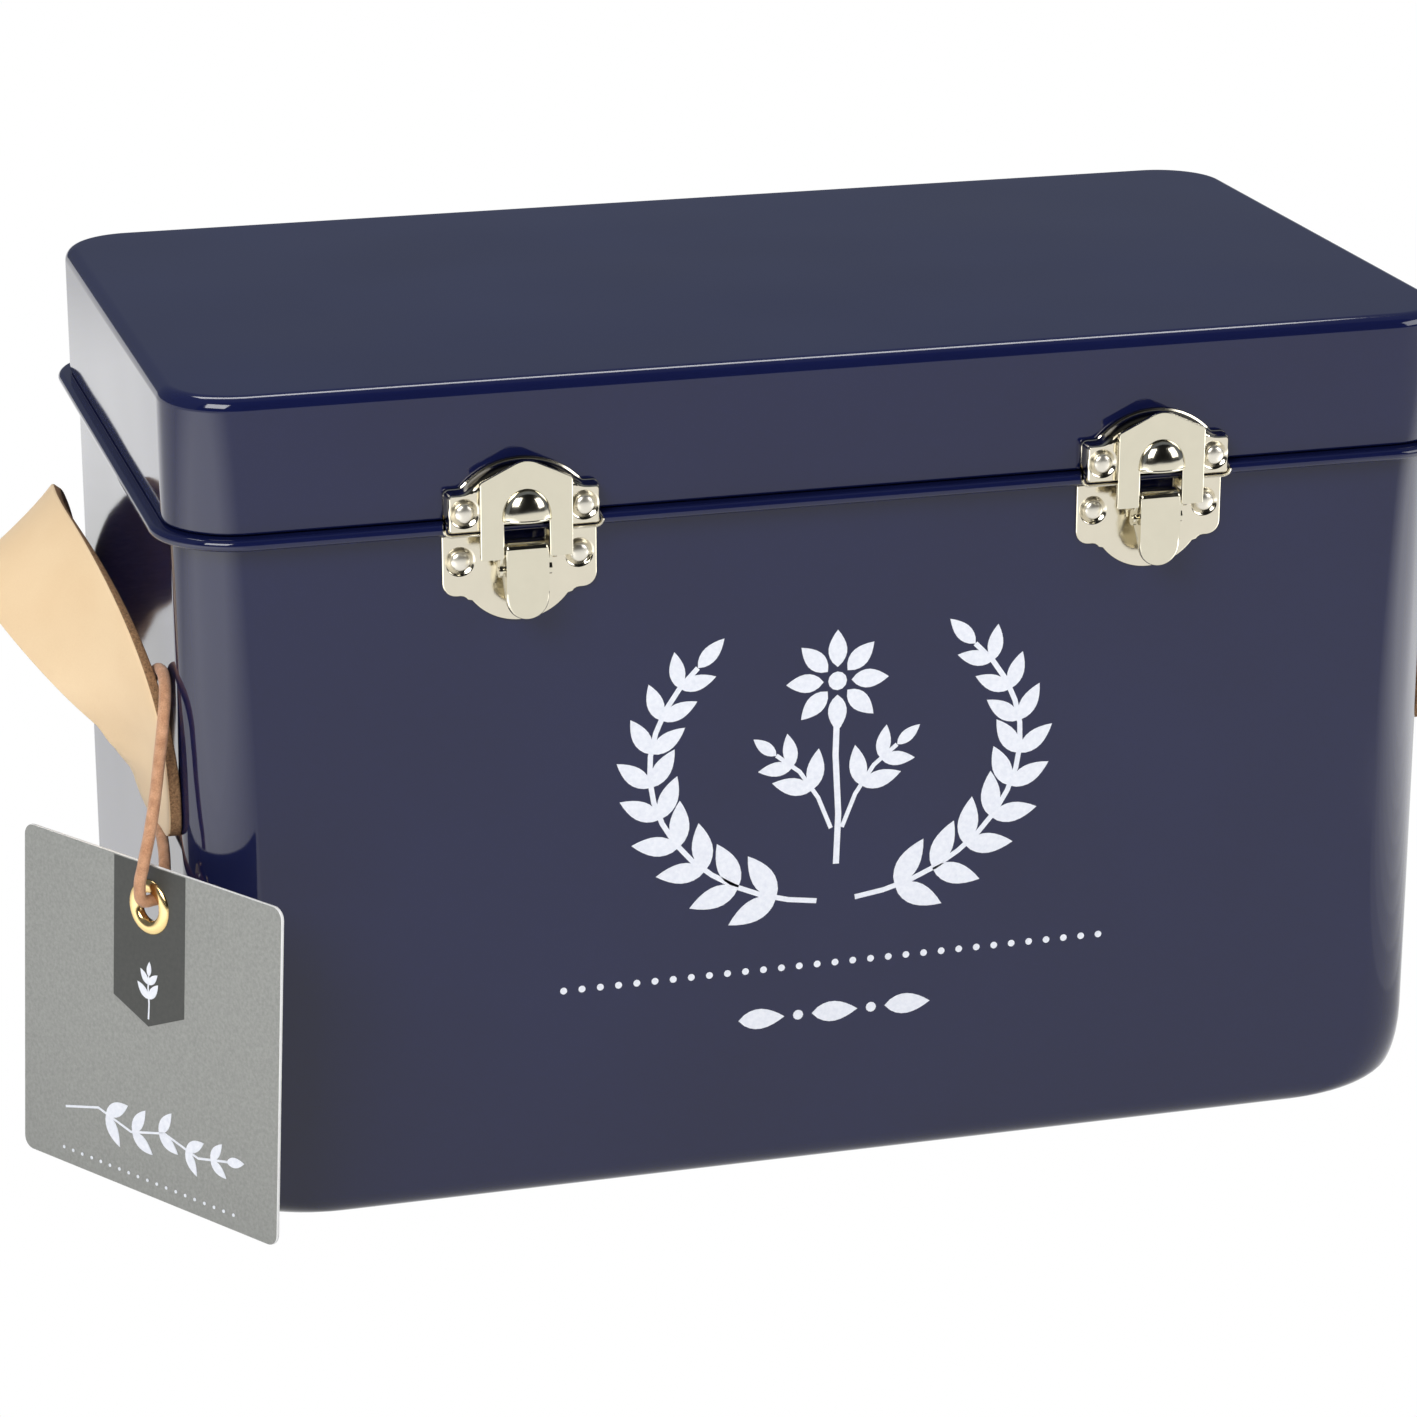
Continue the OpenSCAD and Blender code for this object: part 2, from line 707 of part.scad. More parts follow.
module tag_place() {
    translate([tag_at[0] - half_w, tag_at[1] - half_d, eyelet_z]) rotate([-tag_lean, 0, tag_turn])
        translate([0, 0, -eyelet_z]) children();
}

module tag_outline() {
    r = 3;
    translate([-tag_w / 2 + r, tag_z]) square([tag_w - 2 * r, tag_h]);
    translate([-tag_w / 2, tag_z + r]) square([tag_w, tag_h - 2 * r]);
    for (x = [-1, 1], z = [tag_z + r, tag_top - r]) translate([x * (tag_w / 2 - r), z]) circle(r);
}

module tag_card() {
    color(card) tag_place() translate([0, tag_t / 2, 0]) rotate([90, 0, 0]) difference() {
        linear_extrude(tag_t) tag_outline();
        translate([0, eyelet_z, -1]) cylinder(r = eyelet_hole_r + 0.8 + fit_gap, h = tag_t + 2);
    }
}

module tag_eyelet() {
    lip = 0.7;
    color([0.8, 0.66, 0.36]) tag_place() translate([0, 0, eyelet_z]) rotate([90, 0, 0])
        difference() {
            union() {
                cylinder(r = eyelet_hole_r + 0.8, h = tag_t + 2 * lip, center = true);
                for (k = [-1, 1]) translate([0, 0, k * (tag_t + lip) / 2])
                    cylinder(r = eyelet_r, h = lip, center = true);
            }
            cylinder(r = eyelet_hole_r, h = 20, center = true);
        }
}

// Route of the thong: from its knot through the eyelet, up past the front edge of the left
// strap's end, behind the strap, down its back edge, and under the end to the knot again.
// Measured from the box's left front corner.
thong_pts = [[-5.2, 11.9, 85.2], [-8.7, 9.6, 85.4], [-11.4, 7.7, 86.3], [-12, 7.1, 90],
    [-10.9, 7.1, 95.5], [-8.8, 8.7, 103], [-6.9, 9.9, 112], [-5.5, 10.4, 121], [-4.2, 11.3, 129],
    [-3, 14.1, 135], [-2.15, 19.5, 137.9], [-1.95, 26, 138], [-2.2, 32.5, 135.7], [-2.9, 39, 129.5],
    [-2.9, 44.5, 121], [-2.3, 46.2, 112], [-1.9, 46.1, 104], [-1.9, 44.4, 97.5], [-2.1, 37.5, 94.6],
    [-2.8, 27, 92], [-4.2, 17.6, 88.4], [-5.2, 13, 85.8]];
knot_at = [-5.2, 12.5, 85.4];
knot_r = 2.4;

function thong_dir(i) = let (n = len(thong_pts))
    unit(thong_pts[min(i + 1, n - 1)] - thong_pts[max(i - 1, 0)]);
// Each ring's first axis is the one before it, turned only as far as the route turns.
function thong_axes(i = 0, prev = [0, 0, 1]) =
    let (d = thong_dir(i), a = unit(prev - (prev * d) * d))
    i == len(thong_pts) - 1 ? [a] : concat([a], thong_axes(i + 1, a));

module tag_thong() {
    sides = 8;
    axes = thong_axes();
    color(hide) translate([-half_w, -half_d, 0]) {
        tube([for (i = [0:len(thong_pts) - 1]) let (d = thong_dir(i), a = axes[i], b = cross(d, a))
            [for (k = [0:sides - 1]) thong_pts[i]
                + thong_d / 2 * (a * cos(360 * k / sides) + b * sin(360 * k / sides))]], sides);
        translate(knot_at) sphere(knot_r);
    }
}

tin_body();
lid();
lane_partition();
divider(-1, 0);  // divider_front_1
divider(-1, 1);  // divider_front_2
divider(-1, 2);  // divider_front_3
divider(-1, 3);  // divider_front_4
divider(-1, 4);  // divider_front_5
divider(-1, 5);  // divider_front_6
divider(1, 0);  // divider_back_1
divider(1, 1);  // divider_back_2
divider(1, 2);  // divider_back_3
divider(1, 3);  // divider_back_4
divider(1, 4);  // divider_back_5
divider(1, 5);  // divider_back_6
hinge_body_leaf("left");  // hinge_left_body_leaf
hinge_body_leaf("right");  // hinge_right_body_leaf
hinge_lid_leaf("left");  // hinge_left_lid_leaf
hinge_lid_leaf("right");  // hinge_right_lid_leaf
hinge_pin("left");  // hinge_left_pin
hinge_pin("right");  // hinge_right_pin
hinge_rivets(half_d, body_leaf_z);  // hinge_body_rivets
hinge_rivets(lid_d / 2, lid_leaf_z);  // hinge_lid_rivets
catch_strike("left");  // catch_left_strike
catch_strike("right");  // catch_right_strike
catch_base("left");  // catch_left_base
catch_base("right");  // catch_right_base
catch_lever("left");  // catch_left_lever
catch_lever("right");  // catch_right_lever
catch_hasp("left");  // catch_left_hasp
catch_hasp("right");  // catch_right_hasp
lever_pin("left");  // catch_left_lever_pin
lever_pin("right");  // catch_right_lever_pin
hasp_pin("left");  // catch_left_hasp_pin
hasp_pin("right");  // catch_right_hasp_pin
catch_rivets(base_t, rivet_z_body, base_t + sheet);  // catch_body_rivets
catch_rivets(strike_front, rivet_z_lid, strike_front - lid_step + 2 * sheet);  // catch_lid_rivets
handle_ends("left");  // handle_left_ends
handle_ends("right");  // handle_right_ends
handle_arch("left");  // handle_left_arch
handle_arch("right");  // handle_right_arch
handle_rivets();
handle_washers();
tag_thong();
tag_eyelet();
tag_card();
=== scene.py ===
"""Garden seed organizer box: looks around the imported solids.

Every mesh is drawn in millimetres in the shared frame (X along the width, front at -Y, Z up)
and brought to metres when the piece is finished.
"""

import math

import bmesh
import bpy
from mathutils import Matrix, Vector


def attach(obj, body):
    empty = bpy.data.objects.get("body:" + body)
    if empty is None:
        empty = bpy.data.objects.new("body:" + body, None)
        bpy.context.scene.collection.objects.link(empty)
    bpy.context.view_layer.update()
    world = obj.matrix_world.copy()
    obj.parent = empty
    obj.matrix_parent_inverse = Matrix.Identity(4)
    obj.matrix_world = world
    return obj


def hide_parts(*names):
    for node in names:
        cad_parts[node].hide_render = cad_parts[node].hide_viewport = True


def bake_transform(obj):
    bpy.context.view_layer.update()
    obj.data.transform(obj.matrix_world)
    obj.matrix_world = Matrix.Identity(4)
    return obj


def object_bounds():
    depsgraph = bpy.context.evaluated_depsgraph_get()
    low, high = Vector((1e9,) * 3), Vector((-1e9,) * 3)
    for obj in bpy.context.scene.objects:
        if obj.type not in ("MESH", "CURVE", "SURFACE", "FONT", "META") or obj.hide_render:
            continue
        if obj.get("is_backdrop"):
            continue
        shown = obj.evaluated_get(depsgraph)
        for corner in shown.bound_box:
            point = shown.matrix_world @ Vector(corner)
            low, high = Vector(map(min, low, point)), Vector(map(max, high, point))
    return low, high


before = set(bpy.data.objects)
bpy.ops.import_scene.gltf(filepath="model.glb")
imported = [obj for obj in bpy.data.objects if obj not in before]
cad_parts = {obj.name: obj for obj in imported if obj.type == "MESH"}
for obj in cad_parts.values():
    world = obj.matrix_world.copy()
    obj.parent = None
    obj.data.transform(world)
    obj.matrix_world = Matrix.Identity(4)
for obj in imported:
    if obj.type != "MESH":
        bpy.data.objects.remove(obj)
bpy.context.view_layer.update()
MM = 0.001
pi = math.pi

# ---------------------------------------------------------------- camera
# A long lens from the front left and a little above, as the catalogue view is taken.
CAM_AT = Vector((-324.3, -1115.0, 487.4)) * MM
CAM_TURN = math.radians(15.844)
CAM_DIP = math.radians(18.776)
camera = bpy.data.objects.new("camera", bpy.data.cameras.new("camera"))
bpy.context.scene.collection.objects.link(camera)
sight = Vector(
    (
        math.sin(CAM_TURN) * math.cos(CAM_DIP),
        math.cos(CAM_TURN) * math.cos(CAM_DIP),
        -math.sin(CAM_DIP),
    )
)
camera.location = CAM_AT
camera.rotation_euler = sight.to_track_quat("-Z", "Y").to_euler()
camera.data.sensor_width = 36
camera.data.lens = 117.23
bpy.context.scene.camera = camera
bpy.context.scene.view_settings.view_transform = "Standard"


# ---------------------------------------------------------------- thong
# A soft suede lace, looped behind the left strap and through the tag's eyelet, its two ends
# tied in one small knot behind the tag.
class Wire:
    """A value inside a shader that takes part in ordinary sums."""

    def __init__(self, tree, socket):
        self.tree = tree
        self.socket = socket

    def maths(self, operation, *values):
        node = self.tree.nodes.new("ShaderNodeMath")
        node.operation = operation
        for slot, value in zip(node.inputs, values):
            if isinstance(value, Wire):
                self.tree.links.new(value.socket, slot)
            else:
                slot.default_value = value
        return Wire(self.tree, node.outputs[0])

    def __add__(self, other):
        return self.maths("ADD", self, other)

    def __radd__(self, other):
        return self.maths("ADD", other, self)

    def __sub__(self, other):
        return self.maths("SUBTRACT", self, other)

    def __rsub__(self, other):
        return self.maths("SUBTRACT", other, self)

    def __mul__(self, other):
        return self.maths("MULTIPLY", self, other)

    def __pow__(self, other):
        return self.maths("POWER", self, other)


class Finish:
    """A material on the Principled shader, built from expressions."""

    def __init__(self, name, roughness=0.5, metallic=0.0, **constants):
        self.material = bpy.data.materials.new(name)
        self.material.use_nodes = True
        self.tree = self.material.node_tree
        self.shader = self.tree.nodes["Principled BSDF"]
        self.shader.inputs["Roughness"].default_value = roughness
        self.shader.inputs["Metallic"].default_value = metallic
        for socket, value in constants.items():
            self.shader.inputs[socket.replace("_", " ")].default_value = value

    def node(self, kind, sockets=None, out=0, **settings):
        made = self.tree.nodes.new("ShaderNode" + kind)
        for name, value in settings.items():
            setattr(made, name, value)
        for name, value in (sockets or {}).items():
            if isinstance(value, Wire):
                self.tree.links.new(value.socket, made.inputs[name])
            else:
                made.inputs[name].default_value = value
        return Wire(self.tree, made.outputs[out])

    def place(self):
        """Where a point is on the object, in millimetres."""
        at = self.node("TexCoord", out="Object")
        return self.node("VectorMath", {0: at, "Scale": 1 / MM}, operation="SCALE")

    def noise(self, scale, detail, roughness=0.5):
        """Cloudy variation; scale is how many blobs there are to a millimetre."""
        sockets = {"Vector": self.place(), "Scale": scale}
        sockets |= {"Detail": detail, "Roughness": roughness}
        return self.node("TexNoise", sockets, out="Fac")

    def blend(self, share, first, second):
        """A colour between two colours."""
        sockets = {0: share, 6: first, 7: second}
        return self.node("Mix", sockets, out=2, data_type="RGBA")

    def bump(self, height, depth, strength=1.0, over=None):
        """Relief of that depth, in millimetres."""
        sockets = {"Height": height, "Distance": depth * MM, "Strength": strength}
        if over:
            sockets["Normal"] = over
        return self.node("Bump", sockets)

    def put(self, socket, value):
        """Sets an input of the shader, or links it."""
        slot = self.shader.inputs[socket]
        if isinstance(value, Wire):
            self.tree.links.new(value.socket, slot)
        else:
            slot.default_value = value


def tint(red, green, blue):
    """A colour as a screen shows it, 0 to 255, as the shader wants it."""
    parts = [c / 255 for c in (red, green, blue)]
    return [c / 12.92 if c < 0.04045 else ((c + 0.055) / 1.055) ** 2.4 for c in parts] + [1]


def suede(name, pale, dark):
    """Napped leather: short fibres in two tones."""
    made = Finish(name, roughness=0.95, Sheen_Weight=0.25, Sheen_Roughness=0.4)
    patches = made.noise(0.35, 3)
    nap = made.noise(3.2, 4, 0.7)
    share = made.node("MapRange", {0: patches * 0.5 + nap * 0.5, 1: 0.36, 2: 0.64})
    made.put("Base Color", made.blend(share, dark, pale))
    made.put("Normal", made.bump(nap, 0.35))
    return made


thong_suede = suede("thong_suede", tint(236, 182, 142), tint(184, 128, 90))
THONG_ROUTE = [
    (-166.2, -76.6, 85.2), (-169.7, -78.9, 85.4), (-172.4, -80.8, 86.3), (-173, -81.4, 90),
    (-171.9, -81.4, 95.5), (-169.8, -79.8, 103), (-167.9, -78.6, 112), (-166.5, -78.1, 121),
    (-165.2, -77.2, 129), (-164, -74.4, 135), (-163.15, -69, 137.9), (-162.95, -62.5, 138),
    (-163.2, -56, 135.7), (-163.9, -49.5, 129.5), (-163.9, -44, 121), (-163.3, -42.3, 112),
    (-162.9, -42.4, 104), (-162.9, -44.1, 97.5), (-163.1, -51, 94.6), (-163.8, -61.5, 92),
    (-165.2, -70.9, 88.4), (-166.2, -75.5, 85.8),
]
THONG_THICK = 3


def lace(name, route, thick, closed=False):
    """A round cord through the points of its route."""
    curve = bpy.data.curves.new(name, "CURVE")
    curve.dimensions = "3D"
    curve.bevel_depth = thick / 2 * MM
    curve.bevel_resolution = 4
    curve.resolution_u = 8
    curve.use_fill_caps = not closed
    spline = curve.splines.new("BEZIER")
    spline.bezier_points.add(len(route) - 1)
    spline.use_cyclic_u = closed
    for point, at in zip(spline.bezier_points, route):
        point.co = Vector(at) * MM
        point.handle_left_type = point.handle_right_type = "AUTO"
    made = bpy.data.objects.new(name, curve)
    bpy.context.scene.collection.objects.link(made)
    made.data.materials.append(thong_suede.material)
    return made


thong = lace("thong_lace", THONG_ROUTE, THONG_THICK)
# The knot is a small trefoil.
KNOT_AT, KNOT_R, KNOT_RISE, KNOT_THICK, KNOT_STEPS = (-166.6, -76.2, 85.4), 0.62, 1.3, 2.2, 18
knot_loop = []
for k in range(KNOT_STEPS):
    a = 2 * pi * k / KNOT_STEPS
    knot_loop.append(
        (
            KNOT_AT[0] + KNOT_R * (math.sin(a) + 2 * math.sin(2 * a)),
            KNOT_AT[1] + KNOT_R * (math.cos(a) - 2 * math.cos(2 * a)),
            KNOT_AT[2] - KNOT_RISE * math.sin(3 * a),
        )
    )
knot = lace("thong_knot", knot_loop, KNOT_THICK, closed=True)
for piece in (thong, knot):
    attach(piece, "root")
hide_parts("tag_thong")


# ---------------------------------------------------------------- painted body
# Sheet steel folded round four upright corners, with a rolled bead below the neck that the
# lid closes over, painted glossy navy inside and out.
BODY = (322, 177, 16.5)
SEAM = 178
FOOT_R, SHEET, BEAD_OUT, BEAD_H, NECK = 6, 0.8, 5.2, 2.9, 8


def navy_gloss(name):
    made = Finish(name, roughness=0.06, IOR=1.5)
    cloud = made.noise(0.02, 3)
    deep, lighter = tint(17, 21, 56), tint(21, 27, 66)
    made.put("Base Color", made.blend(cloud, deep, lighter))
    wander = made.noise(0.012, 1)
    peel = made.noise(0.55, 2)
    made.put("Roughness", 0.045 + cloud * 0.05)
    slow = made.bump(wander, 1.6, 0.35)
    made.put("Normal", made.bump(peel, 0.006, 0.6, over=slow))
    return made


navy = navy_gloss("navy_gloss")


def arc(x, z, r, start, end, steps):
    """Points on part of a circle, from one angle to another, in degrees."""
    turn = [math.radians(start + (end - start) * k / steps) for k in range(steps + 1)]
    return [(x + r * math.cos(a), z + r * math.sin(a)) for a in turn]


def run_round(bm, profile, width, depth, radius, turns=16):
    """Carries a wall's profile, (out from the wall, height), round a rounded rectangle."""
    x, y = width / 2 - radius, depth / 2 - radius
    edge = [bm.verts.new((width / 2 + out, -y, z)) for out, z in profile]
    lines = [bm.edges.new(pair) for pair in zip(edge, edge[1:])]
    for cx, cy, dx, dy in (
        (x, y, 0, 2 * y), (-x, y, -2 * x, 0), (-x, -y, 0, -2 * y), (x, -y, 2 * x, 0)
    ):
        grown = bmesh.ops.extrude_edge_only(bm, edges=lines)["geom"]
        ends = [g for g in grown if isinstance(g, bmesh.types.BMVert)]
        bmesh.ops.translate(bm, verts=ends, vec=(dx, dy, 0))
        lines = [g for g in grown if isinstance(g, bmesh.types.BMEdge)]
        spun = bmesh.ops.spin(
            bm, geom=ends + lines, cent=(cx, cy, 0), axis=(0, 0, 1), angle=pi / 2, steps=turns
        )
        lines = [g for g in spun["geom_last"] if isinstance(g, bmesh.types.BMEdge)]
    bmesh.ops.remove_doubles(bm, verts=bm.verts, dist=0.002)
    bmesh.ops.holes_fill(bm, edges=[e for e in bm.edges if e.is_boundary], sides=0)
    bmesh.ops.recalc_face_normals(bm, faces=bm.faces)


def finish_piece(name, bm, finish, body, stands_for=(), crease=32):
    """Brings a drawn shape to metres as a piece that rides on a body."""
    bmesh.ops.scale(bm, verts=bm.verts, vec=(MM, MM, MM))
    for face in bm.faces:
        face.smooth = True
    for line in bm.edges:
        line.smooth = not line.is_manifold or line.calc_face_angle(0) < math.radians(crease)
    mesh = bpy.data.meshes.new(name)
    bm.to_mesh(mesh)
    bm.free()
    made = bpy.data.objects.new(name, mesh)
    bpy.context.scene.collection.objects.link(made)
    mesh.materials.append(finish.material)
    if body:
        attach(made, body)
    if stands_for:
        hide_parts(*stands_for)
    return made


def keep_flat(piece):
    """Weights the shading by area, so that flat sheet stays flat beside its bends."""
    weighting = piece.modifiers.new("flat_first", "WEIGHTED_NORMAL")
    weighting.keep_sharp = True
    weighting.weight = 100


# The profile runs from the base up the outside, over the neck and down the inside.
UNDER_BEAD_R, OVER_BEAD_R = 1.2, 0.6
FOOT_RINGS = (7.5, 9, 11, 14, 18, 22)
bead_mid = BEAD_OUT - BEAD_H / 2
profile = [(-FOOT_R - 4, 0)] + arc(-FOOT_R, FOOT_R, FOOT_R, -90, 0, 10)
profile += [(0, z) for z in FOOT_RINGS]
profile += arc(UNDER_BEAD_R, SEAM - BEAD_H - UNDER_BEAD_R, UNDER_BEAD_R, 180, 90, 4)
profile += arc(bead_mid, SEAM - BEAD_H / 2, BEAD_H / 2, -90, 90, 12)
profile += arc(OVER_BEAD_R, SEAM + OVER_BEAD_R, OVER_BEAD_R, 270, 180, 3)[:-1]
profile += [(0, SEAM + OVER_BEAD_R)]
profile += arc(-SHEET / 2, SEAM + NECK - SHEET / 2, SHEET / 2, 0, 180, 6)
profile += [(-SHEET, z) for z in reversed(FOOT_RINGS)]
profile += arc(-FOOT_R, FOOT_R, FOOT_R - SHEET, 0, -90, 8) + [(-FOOT_R - 4, SHEET)]
bm = bmesh.new()
run_round(bm, profile, *BODY)
# The drawn corners grow rounder towards the foot.
FOOT_CORNER_H, FOOT_CORNER_GROW = FOOT_RINGS[-1], 24
for v in (v for v in bm.verts if v.co.z < FOOT_CORNER_H):
    side = Vector((math.copysign(1, v.co.x), math.copysign(1, v.co.y)))
    middle = Vector([side[k] * (BODY[k] / 2 - BODY[2]) for k in (0, 1)])
    out = v.co.xy - middle
    if min(out.x * side.x, out.y * side.y) > -0.01:
        low = 1 - v.co.z / FOOT_CORNER_H
        grow = FOOT_CORNER_GROW * (1 - math.sqrt(1 - low * low))
        v.co.xy = middle - side * grow + out * (1 + grow / out.length)
keep_flat(finish_piece("painted_body", bm, navy, "root", ["tin_body"]))

# ---------------------------------------------------------------- lid
# One shallow drawn lid with a soft top edge; its lower edge is folded inwards for strength
# and rests just above the bead.
LID = (326, 181, 18.5)
TOP, LID_EDGE, GAP, HEM = 211.5, 3.5, 0.3, 4
profile = [(-LID_EDGE - 5, TOP)] + arc(-LID_EDGE, TOP - LID_EDGE, LID_EDGE, 90, 0, 10)
profile += arc(-SHEET, SEAM + GAP + SHEET, SHEET, 0, -180, 8)
profile += [(-2 * SHEET, SEAM + GAP + HEM), (-SHEET - 0.1, SEAM + GAP + HEM)]
profile += [(-SHEET, SEAM + GAP + HEM + 0.3)]
profile += arc(-LID_EDGE, TOP - LID_EDGE, LID_EDGE - SHEET, 0, 90, 8)
profile += [(-LID_EDGE - 5, TOP - SHEET)]
bm = bmesh.new()
run_round(bm, profile, *LID)
keep_flat(finish_piece("painted_lid", bm, navy, "lid", ["lid"]))


# ---------------------------------------------------------------- catches
# Two pressed and nickelled draw catches: a strike tray on the lid, a base plate with two lugs
# on the body, a channel lever on its pin, and a forked hasp with a domed hood.
CATCH_OUT, RIVET_OUT, LID_RIVETS, BODY_RIVETS = 80, 14.6, 3, -10.4
CATCH_X = {"left": -CATCH_OUT, "right": CATCH_OUT}
STRIKE_BACK, STRIKE_MOST, BASE_OUT, HASP_OUT, LEVER_OUT = 2.05, 6.6, 1.0, 8.8, 9.2
PLATE, STRIKE_PLATE, HASP_PLATE = 0.8, 0.7, 0.6
LUG_IN, LUG_THICK, LEVER_PIN_DROP = 6.8, 0.8, 8
HALF_D = BODY[1] / 2


def nickel_plate(name, shade, rough=0.1):
    made = Finish(name, roughness=rough, metallic=1.0)
    cloud = made.noise(0.25, 3)
    dulled = [c * 0.92 for c in shade[:3]] + [1]
    made.put("Base Color", made.blend(cloud, dulled, shade))
    made.put("Roughness", rough + cloud * 0.08)
    waves = made.noise(0.16, 2)
    made.put("Normal", made.bump(waves, 0.25, 0.5))
    return made


nickel = nickel_plate("nickel", tint(223, 217, 197))


def dished(name, shade):
    """The same plating, pressed in round each of the catch plates' rivets, with a band of painted
    shade on the strike's slope.
    """
    made = nickel_plate(name, shade)
    at = made.node("SeparateXYZ", {0: made.place()})
    height = Wire(made.tree, at.socket.node.outputs["Z"])
    from_middle = at.maths("ABSOLUTE", at.maths("ABSOLUTE", at) - CATCH_OUT)
    across = from_middle - RIVET_OUT
    near = None
    for level in (LID_RIVETS, BODY_RIVETS):
        rise = height - (SEAM + level)
        far = (across * across + rise * rise) ** 0.5
        near = far if near is None else near.maths("MINIMUM", near, far)
    dish = made.node("MapRange", {0: near, 1: 2.2, 2: 3.9}, interpolation_type="SMOOTHSTEP")
    # Painted shade: a dark band on the strike's slope, in the hollow between its rim and the hasp,
    # where the hasp's shadow and a dark reflection fall.
    drop = height - 173.2
    radius = (from_middle * from_middle + drop * drop) ** 0.5
    inside = made.node("MapRange", {0: radius, 1: 19.3, 2: 19.0})
    above = made.node("MapRange", {0: height, 1: 185.8, 2: 187.0})
    unshaded_plating = made.shader.inputs["Base Color"].links[0].from_socket
    painted_shade = tint(96, 90, 76)
    made.put("Base Color", made.blend(inside * above, Wire(made.tree, unshaded_plating), painted_shade))
    waves = made.shader.inputs["Normal"].links[0].from_socket
    made.put("Normal", made.bump(dish, 0.9, over=Wire(made.tree, waves)))
    return made


worn_nickel = nickel_plate("worn_nickel", tint(234, 229, 216), 0.3)
dished_nickel = dished("dished_nickel", tint(226, 219, 200))


def front_outline(bm, points, out):
    """A flat face on the front, from (along the width, height) points, facing forward."""
    face = bm.faces.new([bm.verts.new((u, -out, v)) for u, v in points])
    bm.normal_update()
    if face.normal.y > 0:
        face.normal_flip()
    return face


def walls_back(bm, depth):
    """Grows walls backwards from the rim of the drawing; depth(u, v) is where they end."""
    rim = [e for e in bm.edges if e.is_boundary]
    grown = bmesh.ops.extrude_edge_only(bm, edges=rim)["geom"]
    for v in (g for g in grown if isinstance(g, bmesh.types.BMVert)):
        v.co.y = -depth(v.co.x, v.co.z)


def soften(bm, lines, amount, segments=3):
    """Rounds some edges."""
    bmesh.ops.bevel(
        bm, geom=lines, offset=amount, segments=segments, profile=0.5, affect="EDGES",
        material=-1, clamp_overlap=True,
    )


def thicken(piece, thick, even=True):
    """Sheet metal of one thickness, to the inside of the drawn face."""
    wall = piece.modifiers.new("sheet", "SOLIDIFY")
    wall.thickness = thick * MM
    wall.offset = -1
    wall.use_even_offset = even


def to_front(bm, x):
    """Carries a part drawn from the body wall and the seam to its place on the front."""
    bmesh.ops.translate(bm, verts=bm.verts, vec=(x, -HALF_D, SEAM))


def join(bm, part):
    """Adds another drawing to this one."""
    mesh = bpy.data.meshes.new("part")
    part.to_mesh(mesh)
    part.free()
    bm.from_mesh(mesh)
    bpy.data.meshes.remove(mesh)


def strike_points():
    """The strike's outline, with a notch in its lower edge and an arch above its two ears."""
    half = [(6.4, 1.4), (6.4, -2.5), (17.6, -2.5)] + arc(17.6, -1.1, 1.4, -80, 0, 4)[1:]
    half += [(19, 2), (19, 4)] + arc(17.5, 6.6, 1.5, 0, 90, 5) + [(15.8, 8.1)]
    half += arc(0, -4.8, 19.8, 41, 90, 22)
    return half + [(-u, v) for u, v in reversed(half[:-1])]


def pressed_rings(points, steps):
    """The outline drawn inwards in steps, further on the arch than at the ears."""
    count = len(points)
    inward = []
    for k, (u, v) in enumerate(points):
        before, after = points[k - 1], points[(k + 1) % count]
        ways = []
        for (u0, v0), (u1, v1) in ((before, (u, v)), ((u, v), after)):
            size = math.hypot(u1 - u0, v1 - v0)
            ways.append(Vector((v0 - v1, u1 - u0)) / size)
        middle = ways[0] + ways[1]
        inward.append(middle / max(0.5, middle.length_squared / 2))
    rings = []
    for step in steps:
        ring = []
        for (u, v), way in zip(points, inward):
            reach = step * (0.34 + 0.66 * min(1, max(0, (v - 8.2) / 1.6)))
            ring.append((u + way.x * reach, v + way.y * reach))
        rings.append(ring)
    return rings


def rivet_head(bm, u, v, out):
    """A domed head turned about its own axis, sunk a little in the plate."""
    r, h = 2.4, 1.1
    part = bmesh.new()
    curve = [(0.001, h)] + arc(0, 0, 1, 75, 0, 6)
    curve = curve[:1] + [(r * c, h * s) for c, s in curve[1:]] + [(r, -0.3)]
    points = [part.verts.new((c, -s, 0)) for c, s in curve]
    lines = [part.edges.new(pair) for pair in zip(points, points[1:])]
    bmesh.ops.spin(
        part, geom=points + lines, cent=(0, 0, 0), axis=(0, 1, 0), angle=2 * pi, steps=28,
        use_merge=True,
    )
    bmesh.ops.remove_doubles(part, verts=part.verts, dist=0.003)
    bmesh.ops.recalc_face_normals(part, faces=part.faces)
    bmesh.ops.translate(part, verts=part.verts, vec=(u, -out, v))
    join(bm, part)


def draw_strike(x):
    """A tray whose rim steps up from the lid wall to its raised middle."""
    bm = bmesh.new()
    steps = (0, 0.06, 0.5, 0.75, 1.2, 1.9, 2.9)
    heights = (STRIKE_BACK, 2.9, 3.1, 4.3, 5.5, 6.25, STRIKE_MOST)
    rings = [
        [bm.verts.new((u, -out, v)) for u, v in ring]
        for ring, out in zip(pressed_rings(strike_points(), steps), heights)
    ]
    for low, high in zip(rings, rings[1:]):
        for k in range(len(low)):
            j = (k + 1) % len(low)
            bm.faces.new((low[k], low[j], high[j], high[k]))
    bm.faces.new(rings[-1])
    bm.normal_update()
    if max(bm.faces, key=lambda f: f.calc_area()).normal.y > 0:
        bmesh.ops.reverse_faces(bm, faces=bm.faces)
    for v in rings[0]:
        touches = v.co.z > 0.6 or abs(v.co.x) < 6.5 and v.co.z > -1
        v.co.y = -STRIKE_BACK if touches else -5.65
    to_front(bm, x)
    return bm


